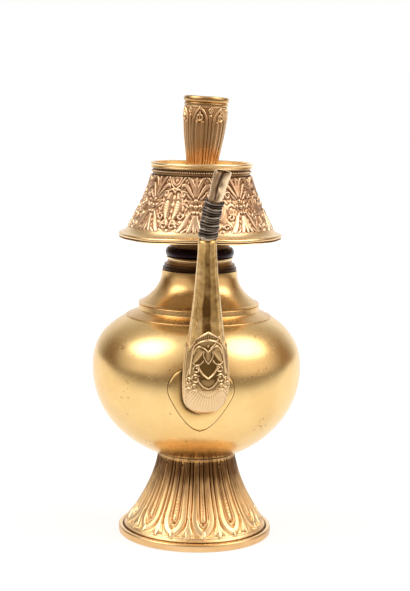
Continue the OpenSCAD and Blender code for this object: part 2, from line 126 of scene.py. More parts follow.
world = bpy.data.worlds.new("room")
world.use_nodes = True
scene.world = world
room = world.node_tree
room.nodes.clear()
room_way = node(room, "TexCoord").outputs["Generated"]
room_axes = node(room, "SeparateXYZ", None, {0: room_way})
room_light = ramp(
    room,
    span(room, room_axes.outputs["Y"], -1.0, 1.0),
    (0.0, (0.29, 0.195, 0.12)),
    (0.3, (0.26, 0.17, 0.10)),
    (0.5, (0.15, 0.078, 0.036)),
    (0.78, (0.26, 0.17, 0.10)),
    (0.88, grey(0.58)),
    (0.94, grey(0.97)),
    (1.0, grey(1.0)),
)
room_side = ramp(room, span(room, room_axes.outputs["X"], -1.0, 1.0), (0.1, grey(0.84)), (0.9, grey(1.2)))
room_light = blend_of(room, 1.0, room_light, room_side, "MULTIPLY")
room_light = blend_of(room, span(room, room_axes.outputs["Z"], 0.35, 0.95), room_light, grey(0.72))
bright_box = (78.5, 50.0, 25.0, 9.0, 3.1)
faint_box = (66.0, 24.0, 46.0, 6.0, 0.75)
for side in (-1, 1):
    for bearing, rise, edge, core, level in (bright_box, faint_box):
        round_z = Matrix.Rotation(math.radians(side * bearing), 3, "Z")
        toward = round_z @ Matrix.Rotation(math.radians(-rise), 3, "X") @ Vector((0, -1, 0))
        near = node(room, "VectorMath", {"operation": "DOT_PRODUCT"}, {0: room_way, 1: toward})
        limits = (math.cos(math.radians(angle)) for angle in (edge, core))
        shine = span(room, near.outputs["Value"], *limits, 0.0, level, True)
        room_light = blend_of(room, 1.0, room_light, shine, "ADD")
room_seen = node(room, "LightPath")
room_glow = node(room, "Background", None, {"Color": room_light, "Strength": 1.0})
room_white = node(room, "Background", None, {"Color": (1, 1, 1, 1), "Strength": 1.0})
room_mix = node(
    room,
    "MixShader",
    None,
    {0: room_seen.outputs["Is Camera Ray"], 1: room_glow.outputs[0], 2: room_white.outputs[0]},
)
node(room, "OutputWorld", None, {"Surface": room_mix.outputs[0]})

sheet_half = 6.0
sheet_drop = 0.0002
sheet_fade = (0.17, 0.56)
sheet_glow = (0.66, 0.06)
sheet_mesh = bpy.data.meshes.new("floor_sheet")
sheet_shape = bmesh.new()
bmesh.ops.create_grid(sheet_shape, x_segments=4, y_segments=4, size=sheet_half)
sheet_shape.to_mesh(sheet_mesh)
sheet_shape.free()
floor_sheet = bpy.data.objects.new("floor_sheet", sheet_mesh)
floor_sheet.location.z = -sheet_drop
scene.collection.objects.link(floor_sheet)
paper = bpy.data.materials.new("white_paper")
paper.use_nodes = True
paper_nodes = paper.node_tree
paper_nodes.nodes.clear()
sheet_rays = node(paper_nodes, "LightPath").outputs
sheet_place = node(paper_nodes, "SeparateXYZ", None, {0: node(paper_nodes, "TexCoord").outputs["Object"]})
sheet_aside = sum_of(paper_nodes, "ABSOLUTE", sheet_place.outputs["X"], 0.0)
sheet_aside = sum_of(paper_nodes, "MULTIPLY", sheet_aside, 0.6)
sheet_reach = sum_of(paper_nodes, "SUBTRACT", sheet_aside, sheet_place.outputs["Y"])
sheet_end = span(paper_nodes, sheet_reach, *sheet_fade, smooth=True)
sheet_dim = sum_of(paper_nodes, "MULTIPLY", sheet_rays["Is Glossy Ray"], sheet_end)
sheet_seen = sum_of(paper_nodes, "MAXIMUM", sheet_rays["Is Glossy Ray"], sheet_rays["Is Transmission Ray"])
sheet_seen = sum_of(paper_nodes, "MAXIMUM", sheet_seen, sheet_rays["Is Camera Ray"])
paper_colour = blend_of(paper_nodes, sheet_seen, grey(0.82), grey(0.40))
paper_colour = blend_of(paper_nodes, sheet_dim, paper_colour, (0.12, 0.095, 0.07))
paper_lit = node(paper_nodes, "BsdfDiffuse", None, {"Color": paper_colour})
paper_level = span(paper_nodes, sheet_dim, 0.0, 1.0, *sheet_glow)
paper_level = sum_of(paper_nodes, "MULTIPLY", sheet_seen, paper_level)
paper_glow = node(paper_nodes, "Emission", None, {"Color": (1, 1, 1, 1), "Strength": paper_level})
paper_sum = node(paper_nodes, "AddShader", None, {0: paper_lit.outputs[0], 1: paper_glow.outputs[0]})
node(paper_nodes, "OutputMaterial", None, {"Surface": paper_sum.outputs[0]})
sheet_mesh.materials.append(paper)


# Foot ring
# The flat turned ring of brass sheet that the vase stands on, with a rounded edge.
# It is soldered under the pedestal, and dark polish has settled in the groove between them.
mm = 0.001


def eased(outline, reach, steps=4):
    """A closed outline with its sharp corners rounded, each cut back by at most reach."""
    smooth = []
    for here in range(len(outline)):
        before, corner, after = (Vector(outline[(here + shift) % len(outline)]) for shift in (-1, 0, 1))
        to_before, to_after = before - corner, after - corner
        if to_before.angle(to_after) > math.radians(158):
            smooth.append(tuple(corner))
            continue
        start = corner + to_before.normalized() * min(reach, 0.45 * to_before.length)
        end = corner + to_after.normalized() * min(reach, 0.45 * to_after.length)
        for step in range(steps + 1):
            share = step / steps
            bend = start.lerp(corner, share).lerp(corner.lerp(end, share), share)
            smooth.append(tuple(bend))
    return smooth


def turned(name, outline, steps, wedges=16):
    """A piece spun from a closed outline of (radius, height) points in mm, one wedge and then its copies."""
    shape = bmesh.new()
    ring = [shape.verts.new((radius * mm, 0, height * mm)) for radius, height in outline]
    edges = [
        shape.edges.new((ring[here - 1], ring[here]))
        for here in range(len(ring))
        if outline[here - 1][0] or outline[here][0]
    ]
    turn = 2 * math.pi / wedges
    axle = {"axis": (0, 0, 1), "cent": (0, 0, 0)}
    bmesh.ops.spin(shape, geom=ring + edges, angle=turn, steps=steps // wedges, **axle)
    wedge = shape.verts[:] + shape.edges[:] + shape.faces[:]
    bmesh.ops.spin(shape, geom=wedge, angle=turn * (wedges - 1), steps=wedges - 1, use_duplicate=True, **axle)
    bmesh.ops.remove_doubles(shape, verts=shape.verts, dist=1e-6)
    bmesh.ops.recalc_face_normals(shape, faces=shape.faces)
    return made_piece(name, shape)


def made_piece(name, shape, sharp=40.0):
    """The object of a finished bmesh, smooth but for edges sharper than that angle."""
    for face in shape.faces:
        face.smooth = True
    for edge in shape.edges:
        edge.smooth = len(edge.link_faces) == 2 and edge.calc_face_angle(0.0) < math.radians(sharp)
    mesh = bpy.data.meshes.new(name)
    shape.to_mesh(mesh)
    shape.free()
    piece = bpy.data.objects.new(name, mesh)
    scene.collection.objects.link(piece)
    return piece


def install(piece, body, cad_node, material):
    """Puts the piece on its body in place of its CAD node, with its finish."""
    piece.data.materials.append(material)
    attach(piece, body)
    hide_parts(cad_node)


wear = bpy.data.node_groups.new("hand_wear", "ShaderNodeTree")
for output in ("Cloud", "Grain", "Marks", "Specks"):
    wear.interface.new_socket(output, in_out="OUTPUT", socket_type="NodeSocketFloat")
wear_place = node(wear, "TexCoord").outputs["Object"]


def wear_noise(scale, detail, rough, place=wear_place):
    """A cloudy noise of the hand's wear."""
    settings = {"Vector": place, "Scale": scale, "Detail": detail, "Roughness": rough}
    return node(wear, "TexNoise", None, settings).outputs["Fac"]


wear_turn = {"Vector": wear_place, "Rotation": (0.3, 0.5, 0.2), "Scale": (90.0, 90.0, 900.0)}
wear_scratch = wear_noise(1.0, 3.0, 0.5, node(wear, "Mapping", None, wear_turn).outputs[0])
wear_pits = node(wear, "TexVoronoi", None, {"Vector": wear_place, "Scale": 260.0}).outputs["Distance"]
wear_marks = sum_of(wear, "MULTIPLY_ADD", span(wear, wear_pits, 0.02, 0.2), 0.5, wear_scratch)
wear_spots = node(wear, "TexVoronoi", None, {"Vector": wear_place, "Scale": 420.0}).outputs["Distance"]
wear_patch = span(wear, wear_noise(75.0, 3.0, 0.6), 0.58, 0.68)
wear_specks = sum_of(wear, "MULTIPLY", span(wear, wear_spots, 0.34, 0.12), wear_patch)
wear_out = wear.nodes.new("NodeGroupOutput")
wear.links.new(wear_noise(34.0, 5.0, 0.62), wear_out.inputs["Cloud"])
wear.links.new(wear_noise(620.0, 4.0, 0.7), wear_out.inputs["Grain"])
wear.links.new(wear_marks, wear_out.inputs["Marks"])
wear.links.new(wear_specks, wear_out.inputs["Specks"])


def metal(name):
    """A new material's tree, with the hand's wear in it."""
    material = bpy.data.materials.new(name)
    material.use_nodes = True
    tree = material.node_tree
    tree.nodes.clear()
    return material, tree, node(tree, "Group", {"node_tree": wear}).outputs


def finish_metal(tree, colour, gloss, height, bump, metallic=1.0):
    """The metal's shader, with its bump."""
    dent = node(tree, "Bump", None, {"Strength": bump, "Distance": 0.0002, "Height": height})
    look = {"Base Color": colour, "Metallic": metallic, "Roughness": gloss, "Normal": dent.outputs[0]}
    shader = node(tree, "BsdfPrincipled", None, look)
    node(tree, "OutputMaterial", None, {"Surface": shader.outputs[0]})


def streaks(tree, place, scale, detail):
    """A noise drawn out into streaks."""
    drawn = node(tree, "Mapping", None, {"Vector": place, "Scale": scale})
    settings = {"Vector": drawn.outputs[0], "Scale": 1.0, "Detail": detail}
    return node(tree, "TexNoise", None, settings).outputs["Fac"]


def brass(name, bright, dull, rough, bump, lathe=0.0, speck=0.0):
    """Worn sheet brass: bright metal clouded with a duller tone, finely marked, with lathe lines if asked."""
    material, tree, marks = metal(name)
    colour = ramp(tree, marks["Cloud"], (0.36, bright), (0.66, dull))
    if speck:
        colour = blend_of(tree, sum_of(tree, "MULTIPLY", marks["Specks"], speck), colour, (0.24, 0.12, 0.04))
    gloss = span(tree, marks["Grain"], 0.3, 0.7, *rough)
    height = marks["Marks"]
    if lathe:
        place = node(tree, "TexCoord").outputs["Object"]
        lines = streaks(tree, place, (14.0, 14.0, 1900.0), 4.0)
        height = sum_of(tree, "MULTIPLY_ADD", lines, lathe, height)
    finish_metal(tree, colour, gloss, height, bump)
    return material


def points_of(piece):
    """The places and normals of a piece's points, as arrays, the places in mm."""
    count = len(piece.data.vertices)
    place = np.empty(count * 3, np.float32)
    lean = np.empty(count * 3, np.float32)
    piece.data.vertices.foreach_get("co", place)
    piece.data.vertex_normals.foreach_get("vector", lean)
    return place.reshape(-1, 3).astype(float) / mm, lean.reshape(-1, 3).astype(float)


def set_points(piece, place):
    """Moves a piece's points to new places in mm."""
    piece.data.vertices.foreach_set("co", (place * mm).astype(np.float32).ravel())
    piece.data.update()


def set_relief(piece, level):
    """Keeps how high each point stands, from 0 to 1, for the patina."""
    relief = piece.data.attributes.new("relief", "FLOAT", "POINT")
    relief.data.foreach_set("value", np.clip(level, 0, 1).astype(np.float32))


def chased(name, recess, middle, crest, rough, painted_shade=None, above=(0, 1)):
    """Chased brass: polish left in the recesses, rubbed metal on the crests, and painted shade streaked on
    above a height.
    """
    material, tree, marks = metal(name)
    relief = node(tree, "Attribute", {"attribute_name": "relief"}).outputs["Fac"]
    level = sum_of(tree, "ADD", relief, span(tree, marks["Cloud"], 0.3, 0.7, 0.14, -0.14))
    colour = ramp(tree, level, (0.05, recess), (0.40, middle), (0.85, crest))
    # Painted shade: a dark colour streaked on above the given height, strongest in the low relief.
    if painted_shade:
        place = node(tree, "TexCoord").outputs["Object"]
        lines = streaks(tree, place, (300.0, 300.0, 12.0), 3.0)
        rise = span(tree, node(tree, "SeparateXYZ", None, {0: place}).outputs["Z"], *above)
        hollow = sum_of(tree, "ADD", lines, span(tree, level, 0.2, 0.8, 0.25, -0.25))
        painted_shade_mask = sum_of(tree, "MULTIPLY", rise, hollow)
        colour = blend_of(tree, span(tree, painted_shade_mask, 0.10, 0.60, 0.0, 0.9), colour, painted_shade)
    gloss = span(tree, level, 0.1, 0.8, rough[1], rough[0])
    finish_metal(tree, colour, gloss, marks["Grain"], 0.25)
    return material


def portion(value, run):
    """How far a value has come along its run, from 0 to 1."""
    return np.clip(value / run, 0, 1)


def reach_of(place):
    """How far each place lies from the axis."""
    return np.hypot(place[:, 0], place[:, 1])


ring_brass = chased("ring_brass", (0.26, 0.13, 0.05), (0.80, 0.50, 0.23), (1.0, 0.74, 0.42), (0.24, 0.34))
foot_ring_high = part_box("foot_ring")[1]
foot_r = foot_ring_high.x / mm
foot_top = foot_ring_high.z / mm
foot_bore = 31.5
pedestal_base = 34.4
ring_outline = eased(
    [
        (foot_bore, 0.0),
        (foot_r, 0.0),
        (foot_r, foot_top - 0.5),
        (foot_r - 1.4, foot_top - 0.1),
        (pedestal_base + 0.4, foot_top - 0.7),
        (pedestal_base, foot_top - 0.9),
        (pedestal_base - 0.2, foot_top),
        (foot_bore, foot_top),
    ],
    0.9,
)
foot_ring = turned("standing_ring", ring_outline, 256)
place, lean = points_of(foot_ring)
reach = reach_of(place)
ledge = portion(reach - pedestal_base - 0.5, 0.5) * portion(place[:, 2] - foot_top + 1.1, 0.5)
set_relief(foot_ring, np.where(reach > foot_r - 0.4, 0.42, 0.95) * np.maximum(ledge, reach > foot_r - 1.2))
install(foot_ring, "vessel", "foot_ring", ring_brass)


# Foot pedestal
# The flared hollow foot, beaten from sheet and chased from both sides with a row of lotus petals.
# The petal tips are coloured lighter, and towards the top the flutes darken in streaks: painted shade under
# the globe.
def between(low, high, share):
    """The value that share of the way from low to high."""
    return low + (high - low) * share


def rows(low, high, count):
    """Values from low to high in count even steps."""
    return [low + (high - low) * step / count for step in range(count + 1)]


def run_along(outline):
    """How far along an outline each of its points lies."""
    return np.array([0.0] + [math.dist(*ends) for ends in zip(outline, outline[1:])]).cumsum()


def bearing_of(place):
    """Each place's angle round the axis in degrees, from the front."""
    return np.degrees(np.arctan2(place[:, 0], -place[:, 1]))


def bell(value, wide):
    """A smooth bump of height 1 round 0."""
    return np.exp(-((value / wide) ** 2))


def dome(off):
    """A rounded height from 1 down to 0, where off is the square of the distance."""
    return np.sqrt(np.clip(1 - off, 0, 1))


def sheet_of(x, y, h=None):
    """A sheet to chase: where each point lies across and up it in mm, and how high it stands."""
    return SimpleNamespace(x=x, y=y, h=np.zeros(len(x)) if h is None else h)


def local_mean(piece, value, rounds):
    """A value's mean round each point, spread along the mesh's edges in so many rounds."""
    ends = np.empty(2 * len(piece.data.edges), np.int32)
    piece.data.edges.foreach_get("vertices", ends)
    one, two = ends[0::2], ends[1::2]
    count = len(value)
    share = 1 + np.bincount(ends, minlength=count)
    for _ in range(rounds):
        value = (value + np.bincount(one, value[two], count) + np.bincount(two, value[one], count)) / share
    return value


def emboss(piece, height, skin, rounds, middle, strength, within):
    """Moves the skin's points out by their height in mm, and sets their relief by what is round them."""
    place, lean = points_of(piece)
    height = np.where(skin, height, 0.0)
    set_points(piece, place + lean * height[:, None])
    level = middle + strength * (height - local_mean(piece, height, rounds))
    set_relief(piece, np.where(skin, level, within))


def curved(points, count):
    """A smooth line of count points through a few."""
    given = np.array(points, float)
    run = np.linspace(0, len(given) - 1, count)
    first = np.minimum(run.astype(int), len(given) - 2)
    share = (run - first)[:, None]
    a, b = given[np.maximum(first - 1, 0)], given[first]
    c, d = given[first + 1], given[np.minimum(first + 2, len(given) - 1)]
    return b + 0.5 * share * (c - a + share * (2 * a - 5 * b + 4 * c - d + share * (3 * b - a - 3 * c + d)))


def ridge(sheet, points, wide, high, form="stem", crease=0.0, count=16):
    """Raises a ridge along a curve: a round stem, a flat band, a leaf thin at both ends, or a tail."""
    line = curved(points, count)
    run = np.linspace(0, 1, count)
    spread = {"leaf": 0.12 + 0.88 * np.sin(math.pi * run) ** 0.7, "tail": 1 - 0.72 * run}
    half = wide * spread.get(form, np.ones(count))
    for here in range(count - 1):
        (ax, ay), (bx, by) = line[here], line[here + 1]
        reach = max(half[here], half[here + 1])
        near = np.flatnonzero(
            (sheet.x > min(ax, bx) - reach)
            & (sheet.x < max(ax, bx) + reach)
            & (sheet.y > min(ay, by) - reach)
            & (sheet.y < max(ay, by) + reach)
        )
        if not near.size:
            continue
        dx, dy = bx - ax, by - ay
        across, up = sheet.x[near] - ax, sheet.y[near] - ay
        along = np.clip((across * dx + up * dy) / max(dx * dx + dy * dy, 1e-9), 0, 1)
        off = np.hypot(across - along * dx, up - along * dy) / between(half[here], half[here + 1], along)
        fall = off**5 if form == "band" else off**2
        lift = high * dome(fall) * (1 - crease * bell(off, 0.3))
        sheet.h[near] = np.maximum(sheet.h[near], lift)


def boss(sheet, x, y, wide, tall, high):
    """Raises a rounded button."""
    off = ((sheet.x - x) / wide) ** 2 + ((sheet.y - y) / tall) ** 2
    sheet.h[:] = np.maximum(sheet.h, high * dome(off))


def pit(sheet, x, y, wide, deep):
    """Sinks a small round pit."""
    off = ((sheet.x - x) ** 2 + (sheet.y - y) ** 2) / wide**2
    sheet.h[:] -= deep * np.exp(-off)


foot_brass = chased(
    "foot_brass",
    (0.44, 0.20, 0.065),
    (0.96, 0.59, 0.25),
    (0.98, 0.71, 0.38),
    (0.33, 0.42),
    # Painted shade: this dark colour is streaked onto the foot's upper part, under the globe.
    (0.11, 0.046, 0.014),
    (0.014, 0.032),
)
seat_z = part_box("foot_pedestal")[1].z / mm
seat_r = 18.4
foot_wall = 1.6
petals = 13
petal_turn = 4.8
petal_half = 7.5
band_wide = 2.7
foot_aside = 0.3
foot_rows = rows(foot_top, seat_z, 96)


def foot_radius(height):
    """The pedestal's radius at a height, in mm."""
    share = np.clip(1 - (height - foot_top) / (seat_z - foot_top), 0, 1)
    return between(seat_r, pedestal_base, share**1.62)


foot_outline = [(float(foot_radius(z)), z) for z in foot_rows]
rise = run_along(foot_outline)
foot_outline += [(float(foot_radius(z)) - foot_wall, z) for z in foot_rows[::-8]]
foot_pedestal = turned("petalled_foot", foot_outline, petals * 64)
place, lean = points_of(foot_pedestal)
reach = reach_of(place)
bearing = bearing_of(place) - petal_turn
pitch = 360 / petals
share = (bearing + pitch / 2) % pitch - pitch / 2
across = np.abs(share) / (pitch / 2) * petal_half
petal = sheet_of(across, np.interp(place[:, 2], foot_rows, rise) - band_wide)
border = [(0, 1.5), (1.4, 2.3), (2.9, 3.9), (4.0, 6.2), (4.5, 9.2), (4.35, 16), (4.3, 26), (4.3, 40)]
ridge(petal, border, 1.65, 1.05, "band", count=44)
ridge(petal, [(0, -1.0), (0, 0.4), (0, 2.6)], 1.25, 1.25, "leaf")
ridge(petal, [(0, 8.2), (0, 14), (0, 40)], 1.5, 1.1, count=30)
ridge(petal, [(0, 5.2), (1.2, 5.6), (2.1, 7.0), (2.3, 9.0), (2.3, 16), (2.2, 40)], 0.42, 0.95, count=34)
ridge(petal, [(7.5, 9.5), (7.5, 20), (7.5, 40)], 1.2, 0.95, count=20)
ridge(petal, [(7.5, -0.9), (7.5, 2.4), (7.5, 9.5)], 1.5, 1.25, "leaf", 0.2)
ridge(petal, [(7.2, 5.6), (6.2, 2.6), (5.0, 0.2)], 1.0, 1.1, "leaf")
pit(petal, 0, 6.7, 0.55, 0.9)
pit(petal, 0, 34.0, 0.6, 0.9)
for bead in (10.5, 12.0, 13.6, 15.0, 16.8, 18.4):
    pit(petal, -0.15, bead, 0.4, 0.6)
petal.h *= np.clip((rise[-1] - band_wide - petal.y) / 2.0, 0.35, 1)
edging = 0.55 - 0.6 * bell(petal.y + 1.5, 0.22)
petal.h = np.where(petal.y < -0.1, np.maximum(petal.h * (petal.y > -1.1), edging), petal.h)
outside = reach > foot_radius(place[:, 2]) - foot_wall / 2
tone = 0.46 + 0.3 * np.clip(1 - petal.y / 14, 0, 1) - 0.5 * (place[:, 2] < foot_top + 0.3)
# Painted shade: darker towards the top, under the globe.
tone -= 0.27 * portion(place[:, 2] - 27, 9)
tone += np.where(place[:, 2] > seat_z - 1.5, 0.9, 0.0) - 2.0 * (place[:, 2] > seat_z - 0.5)
emboss(foot_pedestal, petal.h - 0.7, outside, 12, tone, 0.85, 0.5)
place, lean = points_of(foot_pedestal)
place[:, 0] += foot_aside * portion(place[:, 2] - foot_top, 8)
set_points(foot_pedestal, place)
install(foot_pedestal, "vessel", "foot_pedestal", foot_brass)


# Globe
# The body, raised by hammer from one sheet of brass and planished to a soft shine.
# It is still faintly uneven, with small pits and rubbing marks low on the sides.
globe_brass = brass("globe_brass", (0.94, 0.66, 0.29), (0.86, 0.56, 0.22), (0.22, 0.28), 0.04, 0.0, 0.75)
globe_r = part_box("body_globe")[1].x / mm
belly_z = 81.5
mouth_z = 106.2
lower_axis = 44.63
upper_axis = 31.3
fullness = 2.35
globe_wall = 1.4
globe_aside = 0.55


def globe_radius(height, inset=0.0):
    """The globe's radius at a height, both in mm, or that of its inner wall."""
    below = np.clip((belly_z - height) / (lower_axis - inset), 0, 1)
    above = np.clip((height - belly_z) / (upper_axis - inset), 0, 1)
    share = np.where(height < belly_z, np.sqrt(1 - below**2), (1 - above**fullness) ** (1 / fullness))
    return (globe_r - inset) * share


def dents_of(place, *kinds):
    """How far each place is dented: the sum of noises, each of a scale and with a share."""
    return sum(
        share * np.array([noise.noise(Vector(spot) * scale) for spot in place]) for scale, share in kinds
    )


globe_rows = [between(seat_z, mouth_z, 0.5 * (1 - math.cos(turn))) for turn in rows(0, math.pi, 90)]
globe_outline = [(float(globe_radius(z)), z) for z in globe_rows]
globe_outline += [(float(globe_radius(z, globe_wall)), z) for z in globe_rows[:2:-3]]
body_globe = turned("raised_globe", globe_outline, 288)
place, lean = points_of(body_globe)
sway = dents_of(place, (0.045, 1.0), (0.13, 0.4))
loose = np.clip(np.minimum((place[:, 2] - seat_z) / 12, (mouth_z - place[:, 2]) / 8), 0, 1)
place += lean * (0.09 * sway * loose)[:, None]
place[:, 0] -= globe_aside * loose
set_points(body_globe, place)
install(body_globe, "vessel", "body_globe", globe_brass)


# Shoulder plate
# The stepped plate of spun sheet that closes the globe's mouth, its thin edge lying on the globe.
shoulder_brass = brass("shoulder_brass", (0.88, 0.59, 0.25), (0.64, 0.38, 0.15), (0.22, 0.34), 0.2, 1.2)
tread_z = 109.3
step_z = 112.1
mouth_r = 34.8
step_r = 28.8
shoulder_outline = eased(
    [
        (mouth_r - 1.6, mouth_z),
        (mouth_r + 0.05, mouth_z),
        (mouth_r, mouth_z + 0.5),
        (step_r, tread_z),
        (step_r, step_z),
        (step_r - globe_wall, step_z),
        (step_r - globe_wall, tread_z - 0.4),
    ],
    0.35,
)
shoulder_plate = turned("stepped_plate", shoulder_outline, 256)
install(shoulder_plate, "vessel", "shoulder_plate", shoulder_brass)


# Neck cone
# The sweeping cone of spun sheet between the shoulder and the neck, with the lathe's lines still on it.
cone_brass = brass("cone_brass", (0.86, 0.57, 0.23), (0.60, 0.35, 0.13), (0.20, 0.28), 0.09, 1.4)
cone_foot_r = 27.9
cone_foot_z = 113.0
neck_top_z = 128.3
neck_r = 18.0
neck_wall = 1.4
cone_rows = rows(0, 1, 40)
cone_sweep = 2.35
cone_round = 0.25


def cone_radius(t):
    """The cone's radius at a share of its height, in mm."""
    return between(neck_r, cone_foot_r, (1 - t) ** cone_sweep)


cone_outline = [
    (step_r - cone_round, step_z),
    (step_r, step_z + cone_round),
    (step_r, cone_foot_z - 0.2),
    (step_r - cone_round, cone_foot_z),
]
cone_outline += [(cone_radius(t), between(cone_foot_z, neck_top_z, t)) for t in cone_rows]
cone_outline += [(cone_radius(t) - neck_wall, between(step_z, neck_top_z, t)) for t in cone_rows[::-8]]
neck_cone = turned("swept_cone", cone_outline, 224)
install(neck_cone, "vessel", "neck_cone", cone_brass)


# Neck ring
# A square turned ring on the cone's top, stepped in near its upper edge.
# It is brown, and darkest where it meets the cone.
neck_dark = chased("neck_dark", (0.035, 0.016, 0.008), (0.15, 0.075, 0.03), (0.45, 0.27, 0.11), (0.22, 0.34))
ring_z = 131.5
ring_r = 17.6
ring_step_z = 129.97
ring_top_r = ring_r - 0.77
neck_bore = 14.05
neck_ring_outline = eased(
    [
        (neck_bore, neck_top_z),
        (ring_r, neck_top_z),
        (ring_r, ring_step_z),
        (ring_top_r, ring_step_z),
        (ring_top_r, ring_z),
        (neck_bore, ring_z),
    ],
    0.3,
)
neck_ring = turned("neck_square_ring", neck_ring_outline, 192)
place, lean = points_of(neck_ring)
set_relief(neck_ring, 0.32 * (place[:, 2] - neck_top_z) / (ring_z - neck_top_z))
install(neck_ring, "vessel", "neck_ring", neck_dark)


# Neck cove
# The narrow hollow between the ring and the bead, drawn in by a turning tool.
cove_top_z = 134.6
cove_r = 15.3
cove_deep = 0.75
cove_rows = rows(0, 1, 24)
cove_outline = [(neck_bore, ring_z)]
for t in cove_rows:
    drawn_in = cove_deep * math.sin(math.pi * t)
    cove_outline.append((cove_r + cove_deep - drawn_in, between(ring_z, cove_top_z, t)))
cove_outline.append((neck_bore, cove_top_z))
neck_cove = turned("neck_hollow", cove_outline, 192)
place, lean = points_of(neck_cove)
rise = (place[:, 2] - ring_z) / (cove_top_z - ring_z)
# The lower half is coloured dark as painted shade, and the upper edge bright as a painted highlight.
set_relief(neck_cove, 0.32 + 0.7 * portion(rise - 0.55, 0.25))
cove_brass = chased("cove_brass", (0.10, 0.05, 0.02), (0.46, 0.27, 0.11), (0.93, 0.68, 0.38), (0.22, 0.34))
install(neck_cove, "vessel", "neck_cove", cove_brass)


# Neck bead
# The fat round bead under the collar, turned from one thick ring and soldered round the throat.
# It is coloured nearly black.
bead_brass = brass("bead_brass", (0.028, 0.014, 0.016), (0.012, 0.006, 0.009), (0.18, 0.30), 0.12, 1.0)
bead_top_z = 139.2
bead_r = 16.4
bead_seat_r = 15.2
bead_outline = [(neck_bore, cove_top_z)]
for t in cove_rows:
    swell = math.sin(math.pi * t) ** 0.75
    bead_outline.append((between(bead_seat_r, bead_r, swell), between(cove_top_z, bead_top_z, t)))
bead_outline.append((neck_bore, bead_top_z))
neck_bead = turned("neck_round_bead", bead_outline, 192)
install(neck_bead, "vessel", "neck_bead", bead_brass)


# Neck throat
# The straight throat of seamed sheet that goes up inside the collar and carries it.
# It is dull, as it is never polished.
def plain_ring(bore, radius, low, high, reach):
    """The outline of a plain ring, its corners rounded."""
    return eased([(bore, low), (radius, low), (radius, high), (bore, high)], reach)


inner_brass = brass("inner_brass", (0.27, 0.155, 0.065), (0.15, 0.08, 0.035), (0.36, 0.55), 0.3, 0.8)
throat_low, throat_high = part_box("neck_throat")
throat_r = throat_high.x / mm
throat_bore = 12.7
throat_outline = plain_ring(throat_bore, throat_r, throat_low.z / mm, throat_high.z / mm, 0.4)
neck_throat = turned("straight_throat", throat_outline, 160)
install(neck_throat, "vessel", "neck_throat", inner_brass)


# Heart plate
# A heart cut from thin sheet, bent to the globe and soldered on under the spout's root.
# Its edge is filed round. Its low sides are coloured dark as a painted contact shadow, and painted shadow
# lies round the root, strongest on the left.
def arc(x, y, wide, tall, turns):
    """Points round (x, y) at those turns, in radians."""
    return [(x + wide * math.cos(turn), y + tall * math.sin(turn)) for turn in turns]


heart_brass = chased(
    "heart_brass", (0.09, 0.045, 0.015), (0.70, 0.44, 0.16), (0.92, 0.63, 0.26), (0.20, 0.40)
)
root_z = 77.5
heart_side = -0.8
heart_lobe_x = 5.2
heart_lobe_rise = 2.4
heart_lobe_r = 10.0
heart_drop = 18.2
heart_join = math.radians(-22)
heart_t = 0.9
heart_core = 0.04
heart_back_lift = -0.1
cleft = math.acos(-heart_lobe_x / heart_lobe_r)
half_heart = arc(heart_lobe_x, heart_lobe_rise, heart_lobe_r, heart_lobe_r, rows(cleft, heart_join, 24))
join_x, join_y = half_heart[-1]
for step in range(1, 21):
    fall = 1 - step / 20
    half_heart.append((join_x * fall**0.6, between(-heart_drop, join_y, fall)))
heart_rim = half_heart + [(-x, y) for x, y in half_heart[-2:0:-1]]
heart_shape = bmesh.new()
size, lift = heart_core, heart_back_lift
heart_ring = [heart_shape.verts.new((x * size, lift * heart_t, y * size)) for x, y in heart_rim]
heart_edges = [heart_shape.edges.new(ends) for ends in zip(heart_ring[-1:] + heart_ring, heart_ring)]
heart_back = list(heart_edges)
for next_size, next_lift in (
    (0.6, heart_back_lift),
    (1.0, heart_back_lift),
    (1.0, 0.3),
    (0.985, 0.5),
    (0.955, 0.92),
    (0.925, 1.0),
    *((0.9 - 0.05 * step, 1.0) for step in range(17)),
    (heart_core, 1.0),
):
    grown = bmesh.ops.extrude_edge_only(heart_shape, edges=heart_edges)["geom"]
    heart_edges = [part for part in grown if isinstance(part, bmesh.types.BMEdge)]
    heart_ring = [part for part in grown if isinstance(part, bmesh.types.BMVert)]
    bmesh.ops.scale(heart_shape, vec=(next_size / size, 1, next_size / size), verts=heart_ring)
    bmesh.ops.translate(heart_shape, vec=(0, (next_lift - lift) * heart_t, 0), verts=heart_ring)
    size, lift = next_size, next_lift
bmesh.ops.contextual_create(heart_shape, geom=heart_back)
bmesh.ops.contextual_create(heart_shape, geom=heart_edges)
bmesh.ops.scale(heart_shape, vec=(mm, mm, mm), verts=heart_shape.verts)
bmesh.ops.recalc_face_normals(heart_shape, faces=heart_shape.faces)
heart_plate = made_piece("heart_sheet", heart_shape, 60)
place, lean = points_of(heart_plate)
joint_x = 1.8
joint_r = 10.0
joint = np.hypot(place[:, 0] - joint_x, np.minimum(place[:, 2] + 0.5, 0) * 1.15) - joint_r
# Painted contact shadow on the plate's low sides, and painted shadow round the root, stronger and wider to
# the left.
level = np.minimum((place[:, 1] / heart_t - 0.5) / 0.42, 0.95)
painted_shade = 0.7 - 0.45 * np.clip((place[:, 0] - joint_x) / 8, -1, 1)
painted_shade_wide = 1.7 + 1.4 * portion(joint_x - place[:, 0], 8)
set_relief(heart_plate, level - painted_shade * np.exp(-np.maximum(joint, 0) / painted_shade_wide))
side = heart_side + place[:, 0]
height = root_z + place[:, 2]
out = globe_radius(height) + place[:, 1]
set_points(heart_plate, np.column_stack((side, -np.sqrt(out**2 - side**2), height)))
heart_plate.data.flip_normals()
install(heart_plate, "vessel", "heart_plate", heart_brass)


